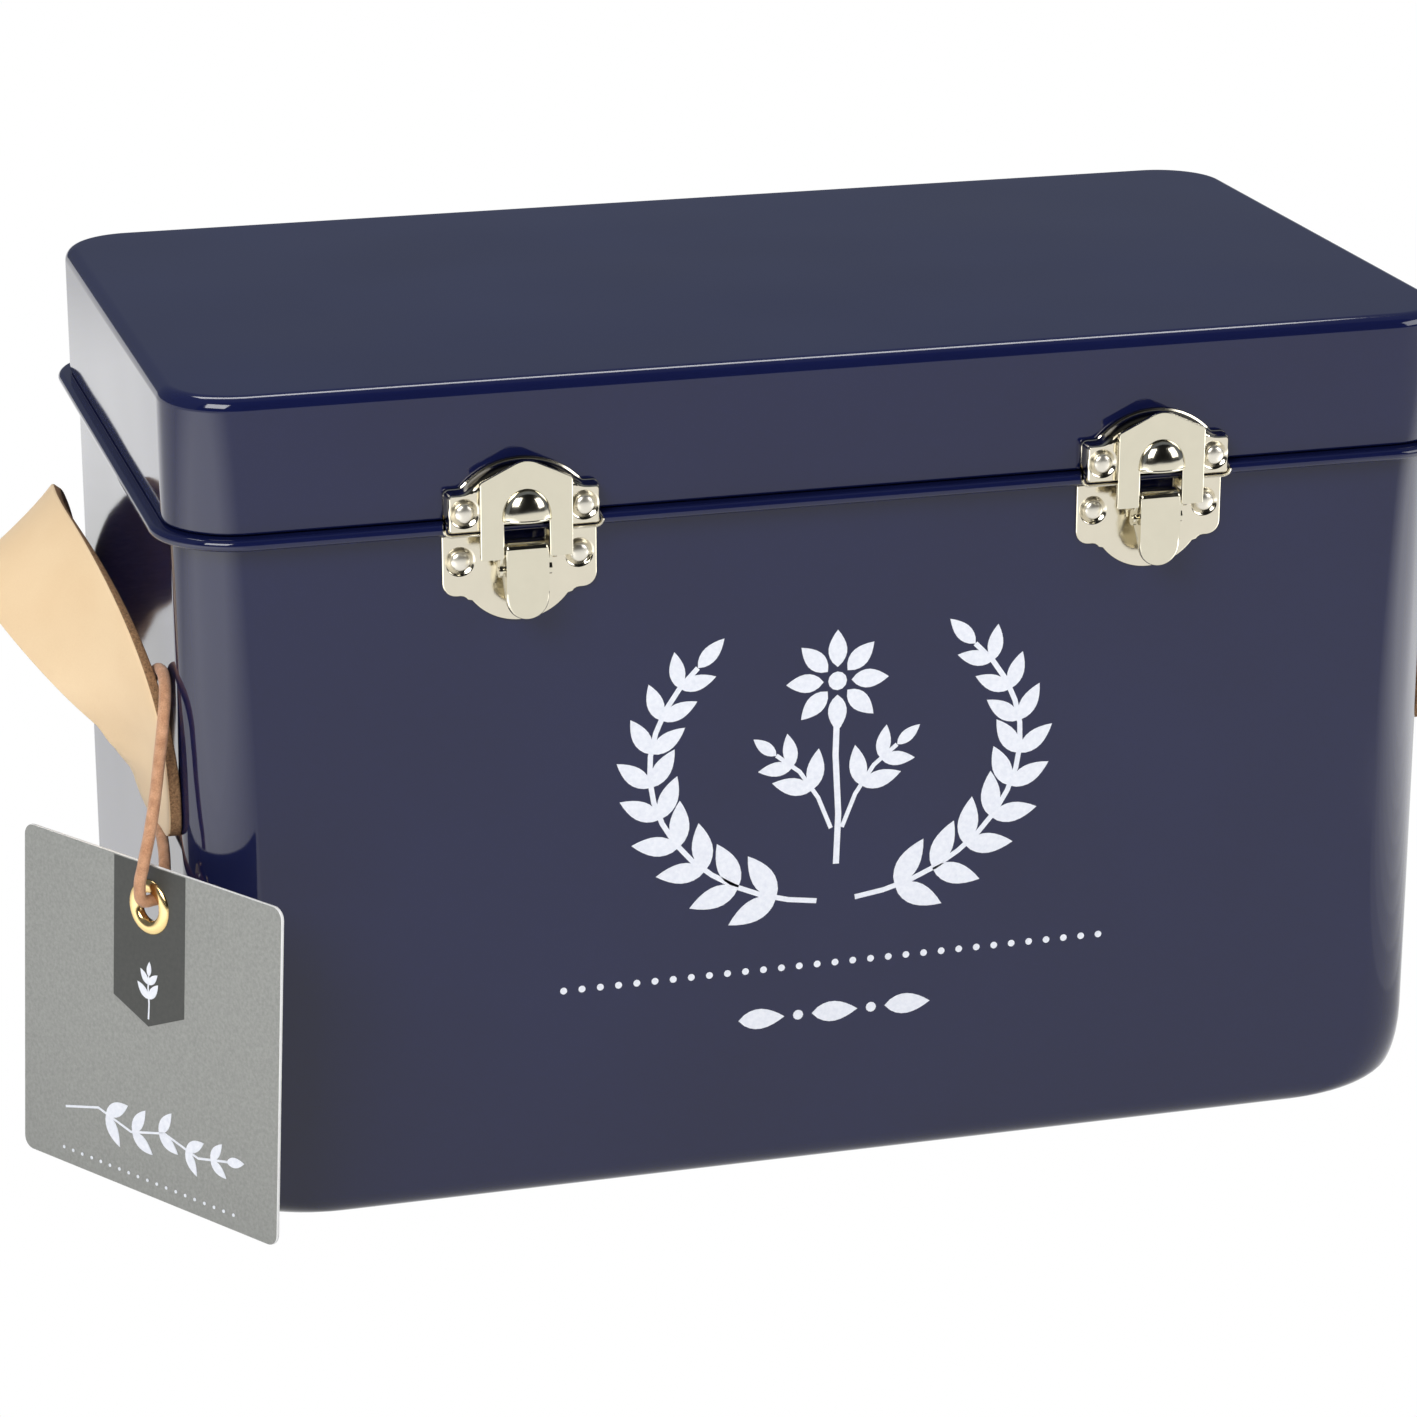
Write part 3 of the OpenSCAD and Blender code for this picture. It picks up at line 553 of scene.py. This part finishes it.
def base_points():
    """Outline of the base plate: two ears and a round foot between them."""
    half = [(6.2, -9.4), (6.2, -3.8), (18.6, -3.8), (19, -4.2)] + arc(15.6, -15.8, 3.4, 0, -90, 6)
    half += arc(14.6, -21.2, 2, 90, 150, 3)
    half += arc(0, -11.2, 15, -38, -90, 12)
    return half + [(-u, v) for u, v in reversed(half[:-1])]


def add_lug(bm, points, side, inner):
    """An upright ear across the front, from (out from the wall, height) points."""
    part = bmesh.new()
    lug = part.faces.new([part.verts.new((0, -w, v)) for w, v in points])
    grown = bmesh.ops.extrude_face_region(part, geom=[lug])["geom"]
    moved = [g for g in grown if isinstance(g, bmesh.types.BMVert)]
    bmesh.ops.translate(part, verts=moved, vec=(side * LUG_THICK, 0, 0))
    bmesh.ops.recalc_face_normals(part, faces=part.faces)
    bmesh.ops.translate(part, verts=part.verts, vec=(side * inner, 0, 0))
    join(bm, part)


def draw_base(x):
    """A flat plate with two lugs for the lever's pin."""
    bm = bmesh.new()
    front_outline(bm, base_points(), BASE_OUT)
    rim = bm.edges[:]
    walls_back(bm, lambda u, v: 0.02)
    soften(bm, rim, 0.45)
    eye = [(0.6, 1.6), (6.0, 1.6)] + arc(6.0, 0, 1.6, 90, -90, 8) + [(0.6, -1.6)]
    for side in (-1, 1):
        add_lug(bm, [(w, v - LEVER_PIN_DROP) for w, v in eye], side, LUG_IN)
    to_front(bm, x)
    return bm


def lever_depth(u, v):
    """How far from the wall the lever's side flanges reach back, by height."""
    if v > -5.2:
        return 6.2
    if v > -13.8:
        return 4.05
    return min(7.6, 4.05 + (-13.8 - v) * 0.75)


def draw_lever(x):
    """A channel, open to the wall, with a rounded thumb end below."""
    bm = bmesh.new()
    half = [(0, -4.6)] + arc(4.4, -5.4, 0.8, 90, 0, 3) + [(5.2, -9), (5.2, -13.8), (5.2, -17)]
    half += arc(0, -18.6, 5.2, 0, -90, 10)
    points = half + [(-u, v) for u, v in reversed(half[1:-1])]
    rim = front_outline(bm, points, LEVER_OUT).edges[:]
    walls_back(bm, lever_depth)
    soften(bm, rim, 0.75, 4)
    # The upper end of the channel curls back over the pin.
    curl_from = -6.4
    for level in (curl_from, -6.2, -6, -5.8, -5.6, -5.4, -5.2, -5, -4.8):
        bmesh.ops.bisect_plane(
            bm, geom=bm.verts[:] + bm.edges[:] + bm.faces[:], plane_co=(0, 0, level),
            plane_no=(0, 0, 1),
        )
    for v in bm.verts:
        v.co.y += 0.45 * max(0, v.co.z - curl_from) ** 2
    bmesh.ops.recalc_face_normals(bm, faces=bm.faces)
    to_front(bm, x)
    return bm


def hasp_depth(u, v):
    """How far from the wall the hasp's folded rim reaches back."""
    return 7.35 if abs(u) > 11 and v < 10.6 else 8.05


def draw_hasp(x):
    """A forked plate with a gable above, a domed hood and two lugs for its pin."""
    bm = bmesh.new()
    gable = [(11.2, 10.2)] + arc(10.6, 10.35, 0.6, 0, 65, 3) + arc(0, 9.2, 6.2, 65, 90, 6)
    half = [(5.6, 1.6), (5.6, -5), (5.6, -8.2), (5.9, -8.5), (10.9, -8.5), (11.2, -8.2)] + gable
    points = half + [(-u, v) for u, v in reversed(half[:-1])]
    rim = front_outline(bm, points, HASP_OUT).edges[:]
    walls_back(bm, hasp_depth)
    soften(bm, rim, 0.3, 2)
    bmesh.ops.recalc_face_normals(bm, faces=bm.faces)
    # The hood is a long half dome, cut open below where it is widest.
    part = bmesh.new()
    bmesh.ops.create_uvsphere(part, u_segments=48, v_segments=32, radius=1)
    bmesh.ops.scale(part, verts=part.verts, vec=(6.0, 3.5, 6.9))
    for away, at in (((0, 0, -1), (0, 0, 0)), ((0, 1, 0), (0, -0.02, 0))):
        bmesh.ops.bisect_plane(
            part, geom=part.verts[:] + part.edges[:] + part.faces[:], plane_co=at,
            plane_no=away, clear_outer=True,
        )
    bmesh.ops.recalc_face_normals(part, faces=part.faces)
    if max(part.faces, key=lambda f: -f.calc_center_median().y).normal.y > 0:
        bmesh.ops.reverse_faces(part, faces=part.faces)
    bmesh.ops.translate(part, verts=part.verts, vec=(0, 0.02 - HASP_OUT, 1.6))
    join(bm, part)
    # Two lugs reach back to the hasp's pin in the lever.
    eye = [(8.4, -6.6), (7.6, -9.4), (7.0, -10.6)] + arc(5.8, -12, 1.7, 40, -140, 8)
    eye += [(4.8, -10.6), (7.4, -6.6)]
    for side in (-1, 1):
        add_lug(bm, eye, side, 5.6)
    to_front(bm, x)
    return bm


for side, x in CATCH_X.items():
    strike = finish_piece(
        f"strike_{side}", draw_strike(x), dished_nickel, "lid",
        [f"catch_{side}_strike"],
    )
    thicken(strike, STRIKE_PLATE, even=False)
    base = finish_piece(
        f"base_plate_{side}", draw_base(x), dished_nickel, "root",
        [f"catch_{side}_base"],
    )
    lever = finish_piece(
        f"lever_{side}_channel", draw_lever(x), nickel, f"lever_{side}",
        [f"catch_{side}_lever"],
    )
    thicken(lever, PLATE)
    hasp = finish_piece(
        f"hasp_{side}_fork", draw_hasp(x), nickel, f"hasp_{side}",
        [f"catch_{side}_hasp"],
    )
    thicken(hasp, HASP_PLATE)
    for piece in (strike, base, lever, hasp):
        keep_flat(piece)

for name, height, out, body in (
    ("lid", LID_RIVETS, STRIKE_MOST, "lid"), ("body", BODY_RIVETS, BASE_OUT, "root")
):
    bm = bmesh.new()
    for x in CATCH_X.values():
        for k in (-RIVET_OUT, RIVET_OUT):
            rivet_head(bm, x + k, height, out)
    to_front(bm, 0)
    finish_piece(
        f"catch_{name}_rivet_heads", bm, worn_nickel, body,
        [f"catch_{name}_rivets"],
    )

# The pins, the back hinges and their rivets keep their solids, in the same plating.
for name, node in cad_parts.items():
    if "pin" in name or name.startswith("hinge") or name in ("handle_rivets", "handle_washers"):
        node.data.materials.clear()
        node.data.materials.append(nickel.material)

# ---------------------------------------------------------------- strap handles
# Each strap is one length of thick veg-tan leather, smooth outside and rough on its cut edges
# and back, riveted to the side wall at both ends and bowed out between them.
STRAP_W, STRAP_T, STRAP_CUT_R = 30, 3.2, 0.7
STRAP_LOW, STRAP_END_R, STRAP_RIVET, STRAP_TILT = 98, 6, 106, 61
STRAP_JOIN = 0.14
STRAP_BOW = [
    Vector(p) for p in ((1.65, -60, 112), (9.65, -60, 134), (27, -28.5, 154), (27, 0, 154))
]


def strap_leather(name):
    made = Finish(name, roughness=0.5)
    back = made.node("Attribute", out="Fac", attribute_name="rough_side")
    cloud = made.noise(0.05, 3)
    pores = made.noise(2.2, 3, 0.6)
    smooth = made.blend(cloud, tint(232, 200, 157), tint(244, 218, 178))
    smooth = made.blend((1 - pores) * 0.25, smooth, tint(214, 172, 126))
    fibre = made.node("MapRange", {0: made.noise(1.6, 5, 0.75), 1: 0.35, 2: 0.65})
    rough = made.blend(fibre, tint(112, 82, 54), tint(184, 142, 102))
    made.put("Base Color", made.blend(back, smooth, rough))
    made.put("Roughness", 0.5 + back * 0.45)
    made.put("Normal", made.bump(pores + back * fibre * 2, 0.06, 0.5))
    return made


leather = strap_leather("strap_leather")


def bezier(a, b, c, d, t):
    """A point of a curve through a and d, at t from 0 to 1."""
    return a * (1 - t) ** 3 + b * 3 * (1 - t) ** 2 * t + c * 3 * (1 - t) * t * t + d * t**3


def strap_point(t):
    """Place and direction of the near half of the strap's bow at t, from 0 to 1."""
    a, b, c, d = STRAP_BOW
    along = (b - a) * (1 - t) ** 2 + (c - b) * 2 * (1 - t) * t + (d - c) * t * t
    return bezier(a, b, c, d, t), along.normalized()


def strap_curl(height):
    """How far the strap's inner edge stands out beside the rivet, where its twist begins."""
    if height < 110.5:
        return 1.9 + 0.25 * (height - 97.5)
    fall = min(1, (height - 110.5) / 9.5)
    return 5.15 * (1 - fall * fall * (3 - 2 * fall))


def strap_stations():
    """Placing matrices along the whole strap, from the near cut end to the far one."""
    up = Vector((0, 0, 1))
    foot = STRAP_BOW[0]
    low = Vector((foot.x, foot.y, STRAP_RIVET))
    near = [
        (Vector((foot.x, foot.y, STRAP_LOW + h)), up, 0) for h in (0, 0.25, 0.8, 1.8, 3.4, 6, 8)
    ]
    join_at, join_along = strap_point(STRAP_JOIN)
    reach = (join_at - low).length / 3
    for k in range(1, 5):
        t = k / 5
        at = bezier(low, low + up * reach, join_at - join_along * reach, join_at, t)
        near.append((at, up.lerp(join_along, t).normalized(), STRAP_JOIN * t * t))
    for k in range(27):
        t = STRAP_JOIN + (1 - STRAP_JOIN) * k / 26
        near.append((*strap_point(t), t))
    made = []
    for at, along, t in near:
        flat = (Vector((1, 0, 0)) - along.x * along).normalized()
        turned = t**0.9 if t < 0.7 else 0.725 + 0.93 * (t - 0.7) * (1 - (t - 0.7) / 0.6)
        tilt = math.radians(STRAP_TILT * turned)
        normal = flat * math.cos(tilt) + flat.cross(along) * math.sin(tilt)
        side = along.cross(normal)
        gone = max(0, STRAP_END_R - at.z + STRAP_LOW)
        half = STRAP_W / 2 - STRAP_END_R + math.sqrt(STRAP_END_R**2 - gone**2)
        axes = Matrix((side * half * 2 / STRAP_W, normal, along)).transposed()
        made.append(Matrix.Translation(at) @ axes.to_4x4())
    mirror = Matrix.Scale(-1, 4, (0, 1, 0))
    turn = Matrix.Scale(-1, 4, (0, 0, 1))
    return made + [mirror @ m @ turn for m in reversed(made[:-1])]


def draw_strap(sign):
    """A rounded section carried from station to station, its cut edges and back marked rough."""
    bm = bmesh.new()
    w, t, r = STRAP_W / 2, STRAP_T / 2, STRAP_CUT_R
    section = []
    for k, (cx, cz) in enumerate(((w - r, t - r), (r - w, t - r), (r - w, r - t), (w - r, r - t))):
        section += arc(cx, cz, r, 90 * k, 90 * k + 90, 3)
    flat = [(w - r - k * (2 * w - 2 * r) / 8, t) for k in range(1, 8)]
    section = section[:4] + flat + section[4:12] + [(-a, -b) for a, b in flat] + section[12:]
    stations = strap_stations()
    ring = [bm.verts.new((a, b, 0)) for a, b in section]
    lines = [bm.edges.new(pair) for pair in zip(ring, ring[1:] + ring[:1])]
    bmesh.ops.transform(bm, matrix=stations[0], verts=ring)
    for old, new in zip(stations, stations[1:]):
        grown = bmesh.ops.extrude_edge_only(bm, edges=lines)["geom"]
        ring = [g for g in grown if isinstance(g, bmesh.types.BMVert)]
        lines = [g for g in grown if isinstance(g, bmesh.types.BMEdge)]
        lines = [g for g in lines if all(v in ring for v in g.verts)]
        bmesh.ops.transform(bm, matrix=new @ old.inverted(), verts=ring)
    for v in bm.verts:
        inner = min(1, max(0, (75 - abs(v.co.y)) / 30))
        v.co.x += strap_curl(v.co.z) * inner * inner
    bmesh.ops.holes_fill(bm, edges=[e for e in bm.edges if e.is_boundary], sides=0)
    bmesh.ops.recalc_face_normals(bm, faces=bm.faces)
    rough = bm.faces.layers.float.new("rough_side")
    normals = [(m.translation, (m.to_3x3() @ Vector((0, 1, 0)))) for m in stations]
    for face in bm.faces:
        middle = face.calc_center_median()
        outward = min(normals, key=lambda n: (n[0] - middle).length_squared)[1]
        face[rough] = 0.0 if face.normal.dot(outward) > 0.6 else 1.0
    bmesh.ops.translate(bm, verts=bm.verts, vec=(BODY[0] / 2, 0, 0))
    if sign < 0:
        bmesh.ops.scale(bm, verts=bm.verts, vec=(-1, 1, 1))
        bmesh.ops.recalc_face_normals(bm, faces=bm.faces)
    return bm


for side, sign in (("left", -1), ("right", 1)):
    strap = finish_piece(
        f"strap_{side}", draw_strap(sign), leather, None,
        [f"handle_{side}_ends", f"handle_{side}_arch"], crease=40,
    )
    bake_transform(strap)

# ---------------------------------------------------------------- tag
# A thick card tag, printed grey on both faces with a darker pennant and a plain leaf print,
# its white core showing at the cut edges, with a rolled brass eyelet for the thong.
TAG_W, TAG_H, TAG_LOW, TAG_T, TAG_EDGE_R = 91, 85.5, 9, 1, 3
EYELET_Z, EYELET_R, EYELET_HOLE = 83.8, 7, 3.5
TAG_AT, TAG_TURN, TAG_LEAN = (-170.1, -78.9), -56.9, -3.5
TAG_PLACE = (
    Matrix.Translation((*TAG_AT, EYELET_Z))
    @ Matrix.Rotation(math.radians(TAG_TURN), 4, "Z")
    @ Matrix.Rotation(math.radians(TAG_LEAN), 4, "X")
    @ Matrix.Translation((0, 0, -EYELET_Z))
)
TAG_TOP = TAG_LOW + TAG_H

card_look = Finish("tag_card", roughness=0.62)
printed = card_look.node("Attribute", out="Fac", attribute_name="printed")
specks = card_look.noise(1.1, 4, 0.65)
share = card_look.node("MapRange", {0: specks, 1: 0.3, 2: 0.7})
grey = card_look.blend(share, tint(137, 138, 133), tint(157, 157, 152))
card_look.put("Base Color", card_look.blend(printed, tint(244, 243, 240), grey))
card_look.put("Normal", card_look.bump(specks, 0.03, 0.5))


def printed_ink(name, pale, deep, roughness=0.5):
    made = Finish(name, roughness=roughness)
    worn = made.node("MapRange", {0: made.noise(0.9, 4, 0.6), 1: 0.3, 2: 0.7})
    made.put("Base Color", made.blend(worn, deep, pale))
    made.put("Normal", made.bump(worn, 0.01, 0.5))
    return made


dark_ink = printed_ink("pennant_ink", tint(58, 59, 55), tint(49, 50, 47))
white_ink = printed_ink("white_ink", tint(240, 241, 246), tint(226, 228, 236), 0.35)


def slab(bm, points, out, thick):
    """A flat shape lying on a front-facing plane, each one a hair further out than the last."""
    part = bmesh.new()
    face = front_outline(part, points, out + len(bm.faces) % 43 * 0.0015)
    grown = bmesh.ops.extrude_face_region(part, geom=[face])["geom"]
    moved = [g for g in grown if isinstance(g, bmesh.types.BMVert)]
    bmesh.ops.translate(part, verts=moved, vec=(0, thick, 0))
    bmesh.ops.recalc_face_normals(part, faces=part.faces)
    join(bm, part)


def pierced(bm, right, out, thick):
    """A sheet with the eyelet's hole in it, from the outline of its right half, low to high."""
    for side in (1, -1):
        points = right + arc(0, EYELET_Z, EYELET_HOLE + 0.2, 90, -90, 16)
        front_outline(bm, [(side * u, v) for u, v in points], out)
    bmesh.ops.remove_doubles(bm, verts=bm.verts, dist=0.001)
    grown = bmesh.ops.extrude_face_region(bm, geom=bm.faces[:])["geom"]
    moved = [g for g in grown if isinstance(g, bmesh.types.BMVert)]
    bmesh.ops.translate(bm, verts=moved, vec=(0, thick, 0))
    bmesh.ops.recalc_face_normals(bm, faces=bm.faces)


bm = bmesh.new()
reach = TAG_W / 2 - TAG_EDGE_R
outline = [(0, TAG_LOW)] + arc(reach, TAG_LOW + TAG_EDGE_R, TAG_EDGE_R, -90, 0, 6)
outline += arc(reach, TAG_TOP - TAG_EDGE_R, TAG_EDGE_R, 0, 90, 6) + [(0, TAG_TOP)]
pierced(bm, outline, TAG_T / 2, TAG_T)
rim = [e for e in bm.edges if e.calc_face_angle(0) > 1]
soften(bm, rim, 0.18, 2)
mark = bm.faces.layers.float.new("printed")
for face in bm.faces:
    face[mark] = 1.0 if abs(face.normal.y) > 0.9 else 0.0
bmesh.ops.transform(bm, matrix=TAG_PLACE, verts=bm.verts)
finish_piece("tag_board", bm, card_look, "root", ["tag_card"])

bm = bmesh.new()
PENNANT_HALF, PENNANT_SIDE, PENNANT_LONG, PENNANT_BELOW = 12.6, 36.2, 41.4, 0.3
shield = [(0, TAG_TOP - PENNANT_LONG), (PENNANT_HALF, TAG_TOP - PENNANT_SIDE)]
shield += [(PENNANT_HALF, TAG_TOP - PENNANT_BELOW), (0, TAG_TOP - PENNANT_BELOW)]
pierced(bm, shield, TAG_T / 2 + 0.06, 0.1)
bmesh.ops.transform(bm, matrix=TAG_PLACE, verts=bm.verts)
finish_piece("tag_pennant", bm, dark_ink, "root")

brass = nickel_plate("eyelet_brass", tint(228, 200, 142), 0.16)
bm = bmesh.new()
middle = (EYELET_R + EYELET_HOLE) / 2
half_roll = (EYELET_R - EYELET_HOLE) / 2
roll = [(middle + half_roll * c, 0.4 + half_roll * 0.6 * s) for c, s in arc(0, 0, 1, 0, 180, 10)]
points = [bm.verts.new((r, -w, 0)) for r, w in roll]
points += [bm.verts.new((r, w, 0)) for r, w in reversed(roll)]
lines = [bm.edges.new(pair) for pair in zip(points, points[1:] + points[:1])]
bmesh.ops.spin(bm, geom=points + lines, cent=(0, 0, 0), axis=(0, 1, 0), angle=2 * pi, steps=40,
               use_merge=True)
bmesh.ops.remove_doubles(bm, verts=bm.verts, dist=0.003)
bmesh.ops.recalc_face_normals(bm, faces=bm.faces)
bmesh.ops.translate(bm, verts=bm.verts, vec=(0, 0, EYELET_Z))
bmesh.ops.transform(bm, matrix=TAG_PLACE, verts=bm.verts)
eyelet_ring = finish_piece(
    "eyelet_ring", bm, brass, "root", ["tag_eyelet"], crease=60
)


# ---------------------------------------------------------------- front print
# A plain leaf wreath round a seedling, with a dotted rule below it, in white enamel ink a hair
# thick on the front wall.
def leaf(bm, u, v, turn, size, plump, out, thick):
    """A pointed leaf that starts at (u, v) and grows along a direction in degrees."""
    a = math.radians(turn)
    outline = []
    for k in range(17):
        t = k / 8 if k <= 8 else (16 - k) / 8
        side = 1 if k <= 8 else -1
        across = side * plump / 2 * size * math.sin(pi * t ** 0.85) ** 0.9 if 0 < t < 1 else 0
        outline.append((t * size, across))
    outline = outline[:-1]
    points = [(u + x * math.cos(a) - y * math.sin(a), v + x * math.sin(a) + y * math.cos(a))
              for x, y in outline]
    slab(bm, points, out, thick)


def stem(bm, points, wide, out, thick):
    """A thin line through some points, as a ribbon of one width."""
    left, right = [], []
    for k, (u, v) in enumerate(points):
        a, b = points[max(k - 1, 0)], points[min(k + 1, len(points) - 1)]
        du, dv = b[0] - a[0], b[1] - a[1]
        n = math.hypot(du, dv)
        left.append((u - dv / n * wide / 2, v + du / n * wide / 2))
        right.append((u + dv / n * wide / 2, v - du / n * wide / 2))
    slab(bm, left + right[::-1], out, thick)


def dot(bm, u, v, r, out, thick):
    """A round spot."""
    slab(bm, arc(u, v, r, 0, 330, 11), out, thick)


def sprig(bm, points, leaves, size, out, thick, wide=0.9, plump=0.42):
    """A stem with pairs of leaves along it and one at its tip."""
    stem(bm, points, wide, out, thick)
    for k in range(leaves):
        at = 1 + (len(points) - 2) * (k + 0.3) / leaves
        i, f = int(at), at - int(at)
        a, b = points[i], points[min(i + 1, len(points) - 1)]
        u, v = a[0] + (b[0] - a[0]) * f, a[1] + (b[1] - a[1]) * f
        heading = math.degrees(math.atan2(b[1] - a[1], b[0] - a[0]))
        grow = size * (1 - 0.35 * k / leaves)
        for turn in (42, -42):
            leaf(bm, u, v, heading + turn, grow, plump, out, thick)
    a, b = points[-2], points[-1]
    leaf(bm, *b, math.degrees(math.atan2(b[1] - a[1], b[0] - a[0])), size * 0.7, plump, out, thick)


bm = bmesh.new()
INK = (0.07, 0.12)
for side in (-1, 1):
    bow = [(side * 40 * math.sin(math.radians(a)), 108 - 32 * math.cos(math.radians(a)))
           for a in range(6, 141, 9)]
    sprig(bm, bow, 9, 11.5, *INK, wide=1.1)
    sprig(bm, [(side * 1.2, 92), (side * 4, 99), (side * 8, 105), (side * 13, 109)], 2, 9, *INK)
stem(bm, [(0, 84), (0.4, 95), (-0.3, 108), (0, 119)], 1.3, *INK)
for k in range(8):
    turn = math.radians(45 * k)
    leaf(bm, 3 * math.cos(turn), 124 + 3 * math.sin(turn), 45 * k, 8, 0.5, *INK)
dot(bm, 0, 124, 2, *INK)
for k in range(31):
    dot(bm, (k - 15) * 3.9, 62, 0.75, *INK)
for k in (-1, 0, 1):
    leaf(bm, k * 16 - 5, 51, 0, 10, 0.45, *INK)
for k in (-1, 1):
    dot(bm, k * 8, 51, 1.1, *INK)
bmesh.ops.translate(bm, verts=bm.verts, vec=(0, 0, -90))
bmesh.ops.scale(bm, verts=bm.verts, vec=(1.2, 1, 1.2))
bmesh.ops.translate(bm, verts=bm.verts, vec=(0, -HALF_D, 88))
finish_piece("front_print", bm, white_ink, "root")

bm = bmesh.new()
TAG_INK = (TAG_T / 2 + 0.1, 0.12)
sprig(bm, [(0, 55), (0.2, 59), (-0.2, 63), (0, 66)], 2, 5.5, *TAG_INK, wide=0.5)
sprig(bm, [(-30, 24), (-18, 27), (-6, 24), (6, 27), (18, 24), (28, 26)], 5, 9, *TAG_INK, wide=0.6)
for k in range(19):
    dot(bm, (k - 9) * 3.4, 13, 0.45, *TAG_INK)
bmesh.ops.transform(bm, matrix=TAG_PLACE, verts=bm.verts)
finish_piece("tag_print", bm, white_ink, "root")

# ---------------------------------------------------------------- inside
# A folded sheet partition makes two lanes; loose card dividers with staggered tabs stand in
# them.
divider_look = Finish("divider_card", roughness=0.85)
fibres = divider_look.noise(0.8, 5, 0.7)
share = divider_look.node("MapRange", {0: fibres, 1: 0.32, 2: 0.68})
divider_look.put("Base Color", divider_look.blend(share, tint(206, 190, 160), tint(226, 213, 186)))
divider_look.put("Normal", divider_look.bump(fibres, 0.05, 0.6))
for name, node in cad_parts.items():
    if name.startswith("divider") or name == "lane_partition":
        node.data.materials.clear()
        look = navy if name == "lane_partition" else divider_look
        node.data.materials.append(look.material)

# ---------------------------------------------------------------- stage
# A wide pale floor, three soft boxes and a plain dim room.
floor_look = Finish("floor", roughness=0.8)
floor_look.put("Base Color", (0.85, 0.85, 0.85, 1))
rays = floor_look.tree.nodes.new("ShaderNodeLightPath")
seen = [Wire(floor_look.tree, rays.outputs[n]) for n in
        ("Is Camera Ray", "Is Glossy Ray", "Is Transmission Ray")]
share = seen[0].maths("MAXIMUM", seen[0], seen[0].maths("MAXIMUM", seen[1], seen[2]))
white = floor_look.node("Emission", {"Color": (1, 1, 1, 1), "Strength": 1.0})
surface = Wire(floor_look.tree, floor_look.shader.outputs[0])
both = floor_look.node("MixShader", {0: share, 1: surface, 2: white})
output = floor_look.tree.nodes["Material Output"]
floor_look.tree.links.new(both.socket, output.inputs["Surface"])
bm = bmesh.new()
bmesh.ops.create_grid(bm, x_segments=1, y_segments=1, size=12000)
floor = finish_piece("floor", bm, floor_look, None)
floor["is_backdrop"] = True

# A black panel far behind the camera, seen only in what is polished.
flag_look = Finish("flag", roughness=1)
flag_look.put("Base Color", (0.003, 0.003, 0.004, 1))
bm = bmesh.new()
corners = ((-9e3, 300), (9e3, 300), (9e3, 12e3), (-9e3, 12e3))
bm.faces.new([bm.verts.new((x, -4e3, z)) for x, z in corners])
flag = finish_piece("flag", bm, flag_look, None)
flag.visible_camera = flag.visible_diffuse = flag.visible_shadow = False
flag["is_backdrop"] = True

world = bpy.data.worlds.new("room")
bpy.context.scene.world = world
world.use_nodes = True
world.node_tree.nodes["Background"].inputs["Color"].default_value = (0.155, 0.17, 0.195, 1)
world.node_tree.nodes["Background"].inputs["Strength"].default_value = 1.0


def softbox(name, at, target, size, power):
    """A flat lamp that faces a point."""
    lamp = bpy.data.lights.new(name, "AREA")
    lamp.shape = "RECTANGLE"
    lamp.size, lamp.size_y = size
    lamp.energy = power
    made = bpy.data.objects.new(name, lamp)
    bpy.context.scene.collection.objects.link(made)
    made.location = at
    made.rotation_euler = (Vector(target) - Vector(at)).to_track_quat("-Z", "Y").to_euler()
    return made


softbox("key", (-1.3, -1.5, 1.6), (0, 0, 0.1), (1.2, 1.2), 44)
softbox("over", (0.1, 0.7, 1.9), (0, 0, 0.1), (1.6, 0.5), 20)
softbox("fill", (1.6, -1.2, 1.0), (0, 0, 0.1), (1.0, 1.0), 14)

# Glows just over the floor, mirrored in the rounded front corners and the lid's left wall.
# Each is a stack of discs, which gives it a soft edge.
DISCS = 8
GLOWS = {
    "left": ((-0.62, -0.33), 0.92, 0.4),
    "right": ((0.575, -0.161), 0.66, 0.33),
    "rear": ((-0.36, 0.64), 0.5, 0.025),
}
for side, ((x, y), wide, power) in GLOWS.items():
    for k in range(DISCS):
        share = 1.1 - 0.08 * k
        glow = softbox(
            f"floor_glow_{side}_{k}", (x, y, 0.002 + 0.001 * k), (x, y, 1),
            (wide * share, wide * share), power * share**2,
        )
        glow.data.shape = "ELLIPSE"
        glow.visible_diffuse = False

low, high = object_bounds()
